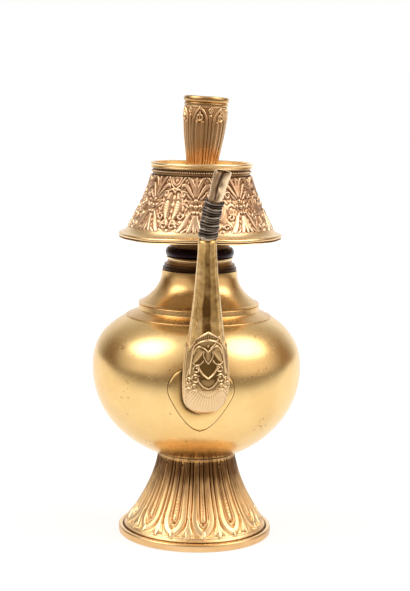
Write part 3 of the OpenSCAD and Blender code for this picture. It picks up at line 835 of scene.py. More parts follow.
# Spout root
# The cast and chased root of the spout: a hood over brows, leaves, shields and rows of curls.
# It is soldered to the heart plate, and its hood laps a little way up the tube.
root_brass = chased("root_brass", (0.15, 0.08, 0.022), (0.66, 0.42, 0.18), (0.93, 0.68, 0.40), (0.22, 0.38))
root_at = Vector((1.0, -54.4, root_z))
spout_lean = Matrix.Rotation(math.radians(-1.4), 4, "Y") @ Matrix.Rotation(math.radians(14.4), 4, "X")
spout_pose = Matrix.Translation(root_at * mm) @ spout_lean
root_r = 10.4
root_foot_h = 6.4
root_len = 27.4
root_top_r = 8.5
hood_peak = 35.4
hood_side = 26.0
hood_brow = 38
hood_from = 20
root_turn = 3.0
root_unrolled_r = 9.3
tube_end_r = 3.9
tube_swell = 4.3
tube_run = 44.2


def tube_radius(s):
    """The tube's radius at a distance along the spout, in mm."""
    return tube_end_r + tube_swell * max(0.0, 1 - max(0.0, s - root_len) / tube_run) ** 1.4


def root_radius(s):
    """The root's radius at a distance along the spout, in mm."""
    if s < 0:
        return root_r * math.sqrt(max(0, 1 - (s / root_foot_h) ** 2))
    if s < root_len:
        return root_r - (root_r - root_top_r) * (s / root_len) ** 2
    return tube_radius(s) + 0.35


root_rows = [-root_foot_h * math.cos(math.pi / 2 * row / 16) for row in range(16)]
root_rows += rows(0, hood_peak, 150)
root_outline = [(0.0, -root_foot_h)] + [(root_radius(s), s) for s in root_rows[1:]]
root_outline += [(tube_radius(hood_peak) - 0.6, hood_peak), (0.0, hood_peak - 1.5)]
spout_root = turned("chased_root", root_outline, 368)
place, lean = points_of(spout_root)
bearing = bearing_of(place) - root_turn
aside = np.abs(bearing)
hood_fall = 0.34 * np.minimum(aside / hood_brow, 1) ** 1.15 + 0.66 * portion(aside - hood_brow, 26) ** 0.8
hood = hood_peak - (hood_peak - hood_side) * hood_fall
lap = place[:, 2] > hood_from
place[lap, 2] = hood_from + (place[lap, 2] - hood_from) * ((hood[lap] - hood_from) / (hood_peak - hood_from))
around = reach_of(place)
fitted = np.array([root_radius(s) for s in place[:, 2]])
skin = around > fitted - 1.2
place[:, :2] *= np.where(skin & lap, fitted / np.maximum(around, 0.1), 1.0)[:, None]
set_points(spout_root, place)
across = np.radians(bearing) * root_unrolled_r
middle = np.clip(1.6 - (across / 5.0) ** 2 - ((place[:, 2] - 19.0) / 9.5) ** 2, 0, 1)
carve = sheet_of(np.abs(across), place[:, 2], 0.34 * (1 - middle))


def curl(x, y, size, start, turns, hand):
    """Points of a spiral round (x, y), from its rim inwards."""
    spots = []
    for step in range(9):
        angle = start + hand * 2 * math.pi * turns * step / 8
        radius = size * (1 - 0.62 * step / 8)
        spots.append((x + radius * math.cos(angle), y + radius * math.sin(angle)))
    return spots


band = portion(carve.y - hood + 3.2, 0.4) * portion(hood - 0.9 - carve.y, 0.3)
carve.h = np.where(band > 0.5, 0.12 + 0.3 * (np.cos(carve.x * 2 * math.pi / 0.95) > -0.2), carve.h)
carve.h = np.maximum(carve.h, 0.95 * dome(((carve.y - hood + 0.6) / 0.65) ** 2))
hood_line = [(0, 31.6), (3.0, 30.8), (5.4, 29.6), (7.0, 28.0), (7.7, 25.0), (8.0, 21.0), (8.4, 15)]
ridge(carve, hood_line, 0.5, 0.95, count=26)
ridge(carve, [(0, 26.0), (2.0, 27.7), (4.2, 28.4), (6.1, 27.2), (7.2, 24.6)], 0.42, 0.8)
ridge(carve, [(0, 24.9), (2.1, 26.5), (4.0, 27.2), (5.5, 26.3)], 0.25, 0.5)
boss(carve, 0, 29.0, 0.75, 0.85, 0.6)
boss(carve, 0, 24.2, 1.9, 3.0, 0.36)
boss(carve, 0, 11.6, 4.2, 2.6, 0.28)
ridge(carve, [(2.1, 26.2), (2.1, 24.4), (1.2, 22.4), (0, 20.8)], 0.3, 0.85)
ridge(carve, [(2.7, 26.7), (5.0, 24.2), (6.6, 20.9)], 1.55, 0.62, "leaf", 0.2)
ridge(carve, [(2.2, 22.0), (3.6, 20.4), (5.2, 19.7), (7.0, 20.4)], 0.34, 0.85)
ridge(carve, [(4.0, 18.4), (2.0, 15.6), (0, 13.9)], 0.36, 0.95)
ridge(carve, [(4.0, 12.3), (2.0, 10.0), (0, 9.0)], 0.36, 0.9)
curls = ((5.1, 17.7, 1.8), (5.3, 13.3, 2.1), (5.7, 8.9, 1.7), (8.7, 11.2, 1.8), (8.9, 6.6, 1.6))
for curl_x, curl_y, curl_size in curls:
    ridge(carve, curl(curl_x, curl_y, curl_size, 2.2, 1.15, -1), 0.34, 0.95, count=24)
ridge(carve, [(4.4, 7.0), (2.2, 5.2), (0, 4.5)], 0.24, 0.55)
ridge(carve, [(3.4, 9.2), (1.7, 7.2), (0, 6.4)], 0.22, 0.5)
ridge(carve, [(8.2, 18.4), (9.4, 15.8), (10.4, 12)], 0.45, 0.7, "leaf")
fan = 0.4 + 0.15 * np.cos(np.arctan2(across, 15 - carve.y) * 66)
carve.h = np.maximum(carve.h, np.where((carve.y > 1.6) & (carve.y < 8.4), fan, 0))
carve.h = np.maximum(carve.h, np.where(carve.y < 1.6, 0.4, 0.0))
flutes = 0.4 + 0.3 * np.cos(carve.x * 2 * math.pi / 1.7)
carve.h = np.maximum(carve.h, np.where(carve.x > 10.4, flutes, 0))
ribbon = sheet_of(across, carve.y, carve.h)
ridge(ribbon, [(1.2, 27.8), (3.2, 29.4), (5.4, 31.6), (7.2, 33.6)], 0.36, 1.0)
upper = portion(carve.y - 7.0, 3.0) * portion(hood - carve.y, 1.0)
tone = 0.62 - upper * (0.60 - 0.55 * np.clip(carve.h / 0.75, 0, 1))
emboss(spout_root, carve.h - 0.35, skin, 16, tone, 0.9, 0.4)
place, lean = points_of(spout_root)
low = portion(7 - place[:, 2], 13)
place[:, 0] = place[:, 0] * (1 - 0.16 * low) - 0.8 * low
set_points(spout_root, place)
spout_root.data.transform(spout_pose)
place, lean = points_of(spout_root)
depth = reach_of(place)
back = globe_radius(np.clip(place[:, 2], seat_z, mouth_z)) + heart_t - 0.05
buried = depth < back
place[buried, :2] *= (back[buried] / depth[buried])[:, None]
set_points(spout_root, place)
install(spout_root, "vessel", "spout_root", root_brass)


# Spout tube
# A plain tapered tube rolled from sheet, with a raised seam down each side.
# It was patched and has lost its shine. A dark band down its front and two thin dark bands at its sides are
# painted reflections of the dim room.
tube_brass = chased("tube_brass", (0.15, 0.068, 0.018), (0.72, 0.44, 0.155), (0.92, 0.66, 0.34), (0.20, 0.32))
tube_end = 71.6
tube_top = tube_end + 3.3
tube_wall = 1.0
seam_high = 0.42
tube_rows = rows(root_len - 4, tube_top, 80)
tube_outline = [(tube_radius(s), s) for s in tube_rows]
tube_outline += [(3.6, tube_top + 0.35), (2.6, tube_top + 0.45), (0.0, tube_top + 0.45)]
tube_outline += [(0.0, tube_top - 1.5)] + [(tube_radius(s) - tube_wall, s) for s in tube_rows[::-10]]
spout_tube = turned("tapered_tube", tube_outline, 208)
place, lean = points_of(spout_tube)
around = reach_of(place)
bearing = bearing_of(place)
fitted = np.array([tube_radius(s) for s in place[:, 2]])
skin = (around > fitted - tube_wall / 2) & (place[:, 2] < tube_top - 0.5)
seam = seam_high * bell(np.abs(bearing) - 66, 5) + 0.2 * bell(np.abs(bearing) - 88, 5)
flat = -0.25 * bell(bearing, 34)
dents = dents_of(place, (0.16, 1.0), (0.5, 0.5))
patch = sheet_of(np.radians(bearing) * fitted, place[:, 2])
ridge(patch, [(-7.5, 46.6), (-5.6, 46.9), (-4.6, 46.2), (-4.4, 44.2)], 0.22, 0.2)
ridge(patch, [(-7.8, 39.6), (-5.4, 39.9), (-4.8, 38.8)], 0.22, 0.2)
set_points(spout_tube, place + lean * np.where(skin, seam + flat + 0.1 * dents + patch.h, 0.0)[:, None])
drift = np.sin(place[:, 2] * 0.31) + np.sin(place[:, 2] * 0.83 + 1.0)
# Painted reflection of the dim room: a dark band down the front that wanders and fades up the tube, and two
# thin dark side bands.
painted_dark_reflection = np.clip((21 - np.abs(bearing + 5 * portion(60 - place[:, 2], 25) + 1.2 * drift)) / 8, 0, 1)
painted_dark_reflection *= 0.7 + 0.3 * portion(56 - place[:, 2], 14)
painted_dark_reflection += 0.3 * bell(bearing - 42, 7) + 0.3 * bell(bearing + 50, 6)
set_relief(spout_tube, 0.46 - 0.4 * painted_dark_reflection + 1.3 * np.clip(seam, 0, seam_high) + 0.2 * dents)
spout_tube.data.transform(spout_pose)
install(spout_tube, "vessel", "spout_tube", tube_brass)


# Spout tip
# The mended tip: a short thin tube, bent to one side and squeezed, with a slanting open mouth.
# It is coloured dark along the dent down its front and on its left, as painted shade, and tan on its right.
tip_brass = chased("tip_brass", (0.11, 0.065, 0.04), (0.66, 0.43, 0.25), (1.0, 0.76, 0.48), (0.26, 0.45))
tip_r = 2.95
tip_bore = 2.3
tip_joint = -2.0
tip_len = 34.6
tip_sway = math.radians(10.8)
tip_knee = 12.7
mend_top = 18
tip_rows = rows(tip_joint, tip_len, 60)
tip_outline = [(tip_r, s) for s in tip_rows[:-1]]
tip_outline += [(tip_r - 0.06, tip_len - 0.05), (tip_r - 0.3, tip_len + 0.05), (tip_bore, tip_len - 0.1)]
tip_outline += [(tip_bore, s) for s in tip_rows[-2:3:-6]] + [(0.0, tip_rows[3]), (0.0, tip_joint)]
spout_tip = turned("bent_tip", tip_outline, 128)


def bent(place):
    """Places along the straight tip, moved on to its curve, which starts in line with the tube."""
    knee = np.array([0.0, tip_knee])
    end = np.array([tip_len * math.sin(tip_sway), tip_len * math.cos(tip_sway)])
    slow, fast = 2 * tip_knee, 2 * np.linalg.norm(end - knee)
    share = (np.sqrt(slow**2 + 2 * (fast - slow) * np.maximum(place[:, 2], 0)) - slow) / (fast - slow)
    spine = 2 * (share * (1 - share))[:, None] * knee + (share**2)[:, None] * end
    way = (1 - share)[:, None] * knee + share[:, None] * (end - knee)
    way /= np.linalg.norm(way, axis=1)[:, None]
    below = np.minimum(place[:, 2], 0)
    return np.column_stack(
        (
            spine[:, 0] + place[:, 0] * way[:, 1],
            place[:, 1],
            tube_end + below + spine[:, 1] - place[:, 0] * way[:, 0],
        )
    )


place, lean = points_of(spout_tip)
bearing = bearing_of(place)
grow = portion(place[:, 2] - 19, 14) ** 1.2
dents = dents_of(place, (0.3, 1.0))
groove = bell(bearing + 8 + 16 * dents, 14) * portion(place[:, 2] - mend_top, 5)
place += lean * (0.16 * dents * portion(place[:, 2] - mend_top, 6) - 0.55 * groove)[:, None]
# Painted shade along the dent and on the left side.
level = 0.95 - 0.95 * groove - 0.5 * bell(bearing + 42, 22) + 0.35 * dents
place[:, 2] += 0.16 * place[:, 0] * portion(place[:, 2] - 24, 11)
place[:, 0] *= 1 + 0.22 * grow
place[:, 1] *= 1 - 0.1 * grow
set_points(spout_tip, bent(place))
set_relief(spout_tip, level)
spout_tip.data.transform(spout_pose)
install(spout_tip, "vessel", "spout_tip", tip_brass)


# Binding wire
# Soft iron wire wound tightly by hand round the mend, one unbroken length, its ends tucked under.
iron_wire = chased("iron_wire", (0.02, 0.014, 0.01), (0.15, 0.11, 0.08), (0.56, 0.47, 0.38), (0.26, 0.42))
wire_d = 1.12
wire_pitch = 1.2
wire_turns = 14
wire_start = 4.2
wire_out = 3.6
wire_steps = 32
wire_shape = bmesh.new()
wire_stand = Matrix.Translation((wire_out * mm, 0, wire_start * mm)) @ Matrix.Rotation(math.pi / 2, 4, "X")
wire_ring = bmesh.ops.create_circle(wire_shape, segments=12, radius=wire_d / 2 * mm, matrix=wire_stand)
bmesh.ops.spin(
    wire_shape,
    geom=wire_ring["verts"] + wire_shape.edges[:],
    angle=2 * math.pi * wire_turns,
    steps=wire_steps * wire_turns,
    axis=(0, 0, 1),
    cent=(0, 0, 0),
    dvec=(0, 0, wire_pitch / wire_steps * mm),
)
bmesh.ops.holes_fill(wire_shape, edges=[edge for edge in wire_shape.edges if edge.is_boundary], sides=0)
bmesh.ops.recalc_face_normals(wire_shape, faces=wire_shape.faces)
binding_wire = made_piece("wound_wire", wire_shape, 80)
place, lean = points_of(binding_wire)
turn = np.arctan2(place[:, 1], place[:, 0])
lap = np.round((place[:, 2] - wire_start) / wire_pitch - turn / (2 * math.pi))
wound = turn + 2 * math.pi * lap
place[:, 2] += 0.15 * np.sin(wound * 0.31 + 1.0) + 0.08 * np.sin(wound * 2.0) + 0.05 * np.sin(wound * 0.87)
place[:, 2] += 0.2 * np.cos(turn) * np.sin(wound * 0.15)
strand = 0.6 + 0.22 * np.sin(wound * 0.37) + 0.16 * np.sin(wound * 1.7 + 1.0)
# The faces of each turn that look towards the next are coloured dark: painted shade between the turns.
set_relief(binding_wire, strand - 0.85 * np.abs(lean[:, 2]) ** 1.3)
loose = 1 + (0.16 * np.sin(wound * 0.23) + 0.05 * np.sin(wound * 3.1)) / wire_out
place[:, :2] *= loose[:, None]
set_points(binding_wire, bent(place))
binding_wire.data.transform(spout_pose)
install(binding_wire, "vessel", "binding_wire", iron_wire)


# Collar sleeve
# The sleeve of thin sheet that caps the throat, so the collar can slide on and off.
sleeve_low, sleeve_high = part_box("collar_sleeve")
sleeve_r = sleeve_high.x / mm
sleeve_bore = 14.15
sleeve_hole = 9.5
sleeve_outline = eased(
    [
        (sleeve_bore, sleeve_low.z / mm),
        (sleeve_r, sleeve_low.z / mm),
        (sleeve_r, sleeve_high.z / mm),
        (sleeve_hole, sleeve_high.z / mm),
        (sleeve_hole, sleeve_high.z / mm - 1.2),
        (sleeve_bore, sleeve_high.z / mm - 1.2),
    ],
    0.3,
)
collar_sleeve = turned("cap_sleeve", sleeve_outline, 160)
install(collar_sleeve, "sleeve", "collar_sleeve", inner_brass)


# Collar hub
# The ring under the dish that turns round the sleeve.
# Like all the inside of the collar, it has a pale, dull finish that is not metal: painted light that
# brightens the shaded inside.
hub_low, hub_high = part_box("collar_hub")
hub_r = hub_high.x / mm
hub_bore = 15.28
hub_outline = plain_ring(hub_bore, hub_r, hub_low.z / mm, hub_high.z / mm, 0.35)
collar_hub = turned("turning_hub", hub_outline, 160)
brightened_inside, inside_tree, inside_marks = metal("brightened_inside")
inside_pale_tone = ramp(inside_tree, inside_marks["Cloud"], (0.36, (0.95, 0.88, 0.72)), (0.66, (0.90, 0.80, 0.60)))
finish_metal(inside_tree, inside_pale_tone, 0.6, inside_marks["Grain"], 0.2, 0.0)
install(collar_hub, "collar", "collar_hub", brightened_inside)


# Collar dish
# The shallow dish inside the top rim, in which the mouth tube stands. Spun sheet with turned rings.
# The dish is coloured paler than the other brass: painted light, which brightens the top rim's inner wall.
dish_brass = brass("dish_brass", (0.98, 0.78, 0.46), (0.86, 0.60, 0.30), (0.34, 0.48), 0.3, 0.5)
dish_low, dish_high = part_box("collar_dish")
dish_r = dish_high.x / mm
dish_hole = 6.6
dish_z = dish_high.z / mm
dish_outline = eased(
    [
        (dish_hole, dish_low.z / mm),
        (dish_r, dish_low.z / mm),
        (dish_r, dish_z),
        (dish_r - 2.6, dish_z),
        (dish_r - 2.9, dish_z - 0.25),
        (dish_r - 3.3, dish_z),
        (dish_hole + 4.2, dish_z),
        (dish_hole + 3.9, dish_z - 0.25),
        (dish_hole + 3.5, dish_z),
        (dish_hole, dish_z),
    ],
    0.25,
)
collar_dish = turned("recessed_dish", dish_outline, 192)
install(collar_dish, "collar", "collar_dish", dish_brass)
# The dish's underside takes the pale inside finish: painted light.
collar_dish.data.materials.append(brightened_inside)
for face in collar_dish.data.polygons:
    face.material_index = int(face.normal.z < -0.5)


# Collar skirt
# The flared skirt, chased in high relief: palmettes and curling leaves between the eight good-luck emblems.
# Rubbed crests, a brown field, and a pinkish cast where the copper shows through.
skirt_brass = chased(
    "skirt_brass",
    (0.20, 0.09, 0.04),
    (0.70, 0.42, 0.23),
    (0.93, 0.66, 0.42),
    (0.28, 0.40),
    # Painted shadow: this dark colour is streaked onto the skirt's top, under the pearl band.
    (0.10, 0.045, 0.018),
    (0.1722, 0.1738),
)
skirt_low_z = 149.0
skirt_top_z = 174.0
skirt_foot_r = 34.2
skirt_top_r = 23.6
skirt_wall = 1.2
skirt_flare = 1.3
skirt_turn = 30.3
emblem_pitch = 45
emblem_half = 11.4
skirt_rows = rows(0, 1, 104)


def skirt_radius(t):
    """The skirt's radius at a share of its height, in mm."""
    return between(skirt_top_r, skirt_foot_r, np.clip(1 - t, 0, 1) ** skirt_flare)


skirt_outline = [(skirt_radius(t), between(skirt_low_z, skirt_top_z, t)) for t in skirt_rows]
skirt_rise = run_along(skirt_outline)
for t in (1.0, 0.66, 0.33, 0.0):
    skirt_outline.append((skirt_radius(t) - skirt_wall, between(skirt_low_z, skirt_top_z, t)))
collar_skirt = turned("chased_skirt", skirt_outline, 832)
place, lean = points_of(collar_skirt)
height_share = (place[:, 2] - skirt_low_z) / (skirt_top_z - skirt_low_z)
skin = reach_of(place) > skirt_radius(height_share) - skirt_wall / 2
bearing = bearing_of(place) + skirt_turn + emblem_pitch / 2
sector = np.floor(bearing / emblem_pitch).astype(int) % 8
across = (bearing % emblem_pitch / (emblem_pitch / 2) - 1) * emblem_half
slant = np.interp(height_share, skirt_rows, skirt_rise)
scroll = sheet_of(emblem_half - np.abs(across), slant)
veins = np.sin(1.9 * slant + 1.6 * np.sin(1.3 * scroll.x)) * np.cos(1.7 * scroll.x + 0.8 * np.sin(slant))
scroll.h[:] = 0.16 + 0.16 * veins
ridge(scroll, [(0, 17.0), (0, 21.5), (0, 26.9)], 1.05, 1.0, "leaf", 0.25, 18)
ridge(scroll, [(0.5, 17.5), (1.3, 21.5), (3.2, 25.2), (5.0, 26.8)], 1.15, 1.0, "leaf", 0.35, 20)
ridge(scroll, [(0.8, 16.5), (2.8, 19.3), (5.2, 22.4), (7.2, 22.9), (8.1, 21.2)], 1.05, 0.95, "leaf", 0.35, 22)
ridge(scroll, curl(6.5, 18.3, 1.75, 2.6, 1.0, -1), 0.6, 0.95, count=22)
ridge(scroll, [(2.0, 16.3), (3.6, 17.4), (5.0, 19.0)], 0.6, 0.85, "leaf")
boss(scroll, 0, 15.6, 1.2, 1.15, 1.05)
boss(scroll, 0, 12.6, 1.15, 1.15, 1.05)
boss(scroll, 2.2, 13.0, 1.1, 1.15, 1.0)
boss(scroll, 0.8, 9.7, 0.8, 1.2, 0.95)
ridge(scroll, [(3.3, 12.0), (5.3, 13.8), (7.3, 12.9), (7.9, 10.6)], 0.95, 0.9, "leaf", 0.3, 18)
ridge(scroll, [(0.6, 8.6), (1.2, 4.2), (2.2, 0.6), (4.0, -2.6)], 1.0, 0.95, "leaf", 0.35, 20)
ridge(scroll, [(1.8, 10.2), (3.6, 6.8), (4.9, 3.2), (6.8, -0.2), (8.8, -2.0)], 1.15, 1.0, "leaf", 0.35, 24)
ridge(scroll, [(3.2, 2.0), (5.0, -0.4), (7.4, -1.8), (10.0, -2.0)], 0.9, 0.9, "leaf", 0.25, 18)
ridge(scroll, [(0, 8.6), (0, 3.6), (0, -2.6)], 0.95, 0.95, "leaf", 0.25, 16)
ridge(scroll, curl(6.7, 7.6, 1.6, 1.4, 1.0, 1), 0.58, 0.9, count=20)
ridge(scroll, curl(9.5, 2.6, 1.6, 3.4, 1.0, -1), 0.52, 0.85, count=20)
ridge(scroll, [(8.4, 26.6), (9.4, 24.0), (11.4, 22.6)], 0.8, 0.9, "leaf", 0.2)
ridge(scroll, [(6.0, 26.9), (7.4, 25.2), (9.0, 22.6), (11.4, 20.9)], 0.62, 0.85, "stem", 0.2)
boss(scroll, 4.4, 15.4, 0.6, 0.6, 0.75)
boss(scroll, 8.9, 17.4, 0.65, 0.65, 0.75)
boss(scroll, 9.2, 13.6, 0.6, 0.6, 0.7)
boss(scroll, 11.4, 24.6, 1.0, 1.5, 0.95)
boss(scroll, 11.4, 0.4, 1.3, 1.3, 0.85)


def pair_of_fish(field):
    """Two fish, heads up, scaled, with their tails curling apart below."""
    half = sheet_of(np.abs(field.x), field.y, field.h)
    body = sheet_of(half.x, half.y)
    ridge(body, [(2.0, 19.0), (3.1, 15.0), (2.9, 10.4), (1.6, 6.0)], 2.45, 1.15, "leaf", count=24)
    scales = 0.5 + 0.5 * np.sin(half.y * 5.0) * np.cos((half.x - 2.9) * 1.6)
    body.h *= np.where(half.y < 15.4, 0.88 + 0.12 * scales, 1.0)
    body.h *= 1 - 0.5 * bell(half.y - 15.6 + 0.5 * (half.x - 2.8) ** 2, 0.25)
    half.h[:] = np.maximum(half.h, body.h)
    ridge(half, [(1.6, 6.8), (2.6, 4.8), (4.4, 3.6)], 0.85, 0.95, "leaf")
    ridge(half, [(1.6, 6.8), (1.2, 4.6), (0.7, 2.8)], 0.8, 0.95, "leaf")
    ridge(half, [(4.6, 13.8), (5.6, 12.0), (5.4, 9.8)], 0.7, 0.85, "leaf")
    ridge(half, [(0.2, 19.4), (1.6, 20.8), (3.6, 20.0), (4.7, 17.8)], 0.62, 0.9)
    boss(half, 2.5, 16.9, 0.42, 0.42, 1.25)


def conch(field):
    """A conch with a coiled top and a drawn-out lip."""
    boss(field, 0.2, 11.4, 3.6, 6.6, 0.8)
    ridge(field, curl(0.2, 14.6, 3.1, 1.0, 1.6, 1), 0.75, 0.95, "tail", 0.2, 40)
    ridge(field, [(2.6, 13.0), (1.6, 9.2), (-0.4, 6.0)], 1.3, 0.9, "tail", 0.2)
    ridge(field, [(-2.8, 13.6), (-2.2, 9.8), (-0.6, 6.2)], 0.8, 0.8, "tail", 0.2)


def lotus(field):
    """An open lotus on a short stem."""
    for angle, size in ((0, 8.6), (28, 8.0), (-28, 8.0), (56, 6.6), (-56, 6.6), (82, 5.0), (-82, 5.0)):
        way = math.radians(angle)
        tip = (size * math.sin(way) * 0.62, 9.0 + size * math.cos(way))
        ridge(field, [(0, 8.8), (tip[0] * 0.62, 9 + (tip[1] - 9) * 0.5), tip], 1.15, 0.9, "leaf", 0.4)
    ridge(field, [(0, 8.8), (0, 4.2)], 0.5, 0.7)
    boss(field, 0, 8.6, 1.2, 0.9, 0.95)


def wheel(field):
    """A wheel with eight spokes."""
    hub = 12.6
    for size, wide in ((3.7, 0.6), (1.3, 0.45)):
        ridge(field, arc(0, hub, size, size, rows(math.pi / 2, -1.5 * math.pi, 16)), wide, 0.9, count=33)
    for spoke in range(8):
        way = math.pi * spoke / 4
        ends = [(size * math.sin(way), hub + size * math.cos(way)) for size in (1.2, 3.6)]
        ridge(field, ends, 0.36, 0.75, count=4)
    boss(field, 0, hub, 0.7, 0.7, 0.95)
    ridge(field, [(0, 8.6), (0, 5)], 0.8, 0.8, "leaf")


def parasol(field):
    """A parasol with a fringe and a turned pole."""
    ridge(field, [(-3.8, 13.2), (-2.8, 16.4), (0, 18.2), (2.8, 16.4), (3.8, 13.2)], 0.8, 0.9, count=20)
    for rib in (-1.8, 0.0, 1.8):
        ridge(field, [(0, 17.8), (rib * 0.8, 15.8), (rib, 13.4)], 0.7, 0.75, "leaf")
    for tassel in (-3.4, -1.7, 0.0, 1.7, 3.4):
        boss(field, tassel, 12.2, 0.6, 0.9, 0.8)
    ridge(field, [(0, 12), (0, 4.4)], 0.5, 0.75)
    boss(field, 0, 19.2, 0.8, 0.9, 0.9)


def treasure_vase(field):
    """A round vase with a flame on its lid."""
    boss(field, 0, 10.6, 3.2, 3.2, 1.0)
    ridge(field, [(-2.9, 11.8), (0, 10.8), (2.9, 11.8)], 0.35, 1.1)
    ridge(field, [(0, 13.6), (0, 15.8)], 1.1, 0.8)
    ridge(field, [(-1.9, 16.2), (1.9, 16.2)], 0.5, 0.9)
    ridge(field, [(-2.1, 6.8), (2.1, 6.8)], 0.6, 0.85)
    ridge(field, [(0, 16.6), (0, 20)], 1.0, 0.85, "leaf")


def endless_knot(field):
    """A knot of crossing bands, looped at the sides."""
    mid, arm = 12.4, 2.8
    for shift in (-arm, 0.0, arm):
        slope = [(shift - arm, mid + shift), (shift * 0.5, mid - shift * 0.5), (arm, mid - arm)]
        ridge(field, slope, 0.42, 0.8)
        ridge(field, [(-arm, mid + shift), (0, mid + shift), (arm, mid + shift)], 0.42, 0.85)
        ridge(field, [(shift, mid - arm), (shift, mid), (shift, mid + arm)], 0.42, 0.75)
    for side in (-1, 1):
        ridge(field, curl(side * 3.7, 13.8, 1.3, 2.0, 0.8, side), 0.4, 0.8, count=16)
        ridge(field, curl(side * 3.7, 11.0, 1.3, 4.0, 0.8, -side), 0.4, 0.8, count=16)
    boss(field, 0, 17.4, 0.8, 1.2, 0.85)
    boss(field, 0, 7.4, 0.8, 1.2, 0.85)


def banner(field):
    """A rolled banner in tiers, with two streamers."""
    for tier, half_wide in ((8.0, 2.6), (10.4, 2.8), (12.8, 2.8), (15.2, 2.4)):
        ridge(field, [(-half_wide, tier), (0, tier - 0.4), (half_wide, tier)], 1.0, 0.85)
    ridge(field, [(-1.8, 17.2), (0, 18.6), (1.8, 17.2)], 0.7, 0.85)
    for side in (-1, 1):
        ridge(field, [(side * 2.8, 15), (side * 4.2, 11.4), (side * 3.6, 7.2)], 0.45, 0.7)
    ridge(field, [(0, 7), (0, 4.2)], 0.5, 0.75)


emblems = (pair_of_fish, conch, lotus, banner, treasure_vase, endless_knot, parasol, wheel)
for order, emblem in enumerate(emblems):
    here = np.flatnonzero((sector == order) & skin)
    field = sheet_of(across[here], slant[here], scroll.h[here])
    emblem(field)
    scroll.h[here] = field.h
scroll.h *= portion(skirt_rise[-1] - slant, 0.8)
emboss(collar_skirt, scroll.h - 0.35, skin, 14, 0.44 + 0.16 * np.clip(1 - slant / 9, 0, 1), 1.5, 0.9)
install(collar_skirt, "collar", "collar_skirt", skirt_brass)
# The skirt's inside takes the pale inside finish: painted light.
collar_skirt.data.materials.append(brightened_inside)
for face in collar_skirt.data.polygons:
    face.material_index = int(not skin[list(face.vertices)].any())


# Collar lower rim
# The plain flared rim of the collar, its edge rolled over. It has been knocked a little out of true.
def knocked(piece, loose, *waves):
    """Bends a rim up and down by waves of a height in mm, a count and a start, where it is loose."""
    place, lean = points_of(piece)
    bearing = np.radians(bearing_of(place))
    place[:, 2] += loose * sum(high * np.sin(count * bearing + start) for high, count, start in waves)
    set_points(piece, place)


rim_brass = chased("rim_brass", (0.10, 0.045, 0.015), (0.74, 0.47, 0.22), (0.92, 0.65, 0.33), (0.22, 0.36))
rim_low, rim_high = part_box("collar_lower_rim")
rim_r, rim_z = rim_high.x / mm, rim_low.z / mm
rim_roll = 0.95
rim_roll_r = rim_r - 1.1
rim_back_z = rim_z + 2.5
rim_outline = [
    (skirt_foot_r - skirt_wall, skirt_low_z),
    (rim_roll_r - 2.0, rim_z),
    (rim_r - 0.7, rim_z),
    (rim_r - 0.25, rim_z + 0.2),
    (rim_r - 0.4, rim_z + 0.42),
    (rim_r - 1.2, rim_z + 0.6),
]
rim_outline += arc(rim_r - 1.0, rim_z + 1.65, rim_roll, rim_roll, rows(math.radians(-60), math.pi / 2, 10))
for t in rows(0, 1, 10)[1:]:
    rim_outline.append((between(rim_roll_r, skirt_foot_r, t), between(rim_back_z, skirt_low_z, t**1.6)))
collar_lower_rim = turned("rolled_rim", rim_outline, 320)
place, lean = points_of(collar_lower_rim)
# A dark line under the roll is a painted shadow between the roll and the rim's lower edge.
set_relief(collar_lower_rim, 0.75 - 0.85 * bell(place[:, 2] - rim_z - 0.66, 0.26))
loose = portion(reach_of(place) - skirt_foot_r - 0.3, 3.0)
knocked(collar_lower_rim, loose, (0.22, 2, 0.6), (0.14, 5, 1.9), (0.08, 11, 0.0))
install(collar_lower_rim, "collar", "collar_lower_rim", rim_brass)


# Collar pearl band
# A narrow band of small pearls struck side by side, over a dark line of painted shadow.
pearl_brass = chased("pearl_brass", (0.045, 0.02, 0.01), (0.52, 0.31, 0.15), (0.98, 0.76, 0.48), (0.22, 0.5))
pearl_low, pearl_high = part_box("collar_pearl_band")
pearl_low_z, pearl_high_z = pearl_low.z / mm, pearl_high.z / mm
pearl_z = pearl_high_z - 0.2
pearl_count = 132
pearl_half = 0.56
pearl_back_r = skirt_top_r - 0.55
pearl_rows = rows(pearl_low_z, pearl_high_z + 0.4, 20)
pearl_outline = [(pearl_back_r, z) for z in pearl_rows]
pearl_outline += [(skirt_top_r - skirt_wall, pearl_rows[-1]), (skirt_top_r - skirt_wall, pearl_rows[0])]
collar_pearl_band = turned("struck_pearls", pearl_outline, pearl_count * 8)
place, lean = points_of(collar_pearl_band)
skin = reach_of(place) > pearl_back_r - 0.3
pearl_pitch = 360 / pearl_count
aside = (bearing_of(place) + pearl_pitch / 2) % pearl_pitch - pearl_pitch / 2
pearl = sheet_of(aside / (pearl_pitch / 2) * pearl_half, place[:, 2] - pearl_z)
boss(pearl, 0, 0, pearl_half, 0.45, 0.75)
emboss(collar_pearl_band, pearl.h, skin, 10, 0.4, 1.6, 0.2)
install(collar_pearl_band, "collar", "collar_pearl_band", pearl_brass)


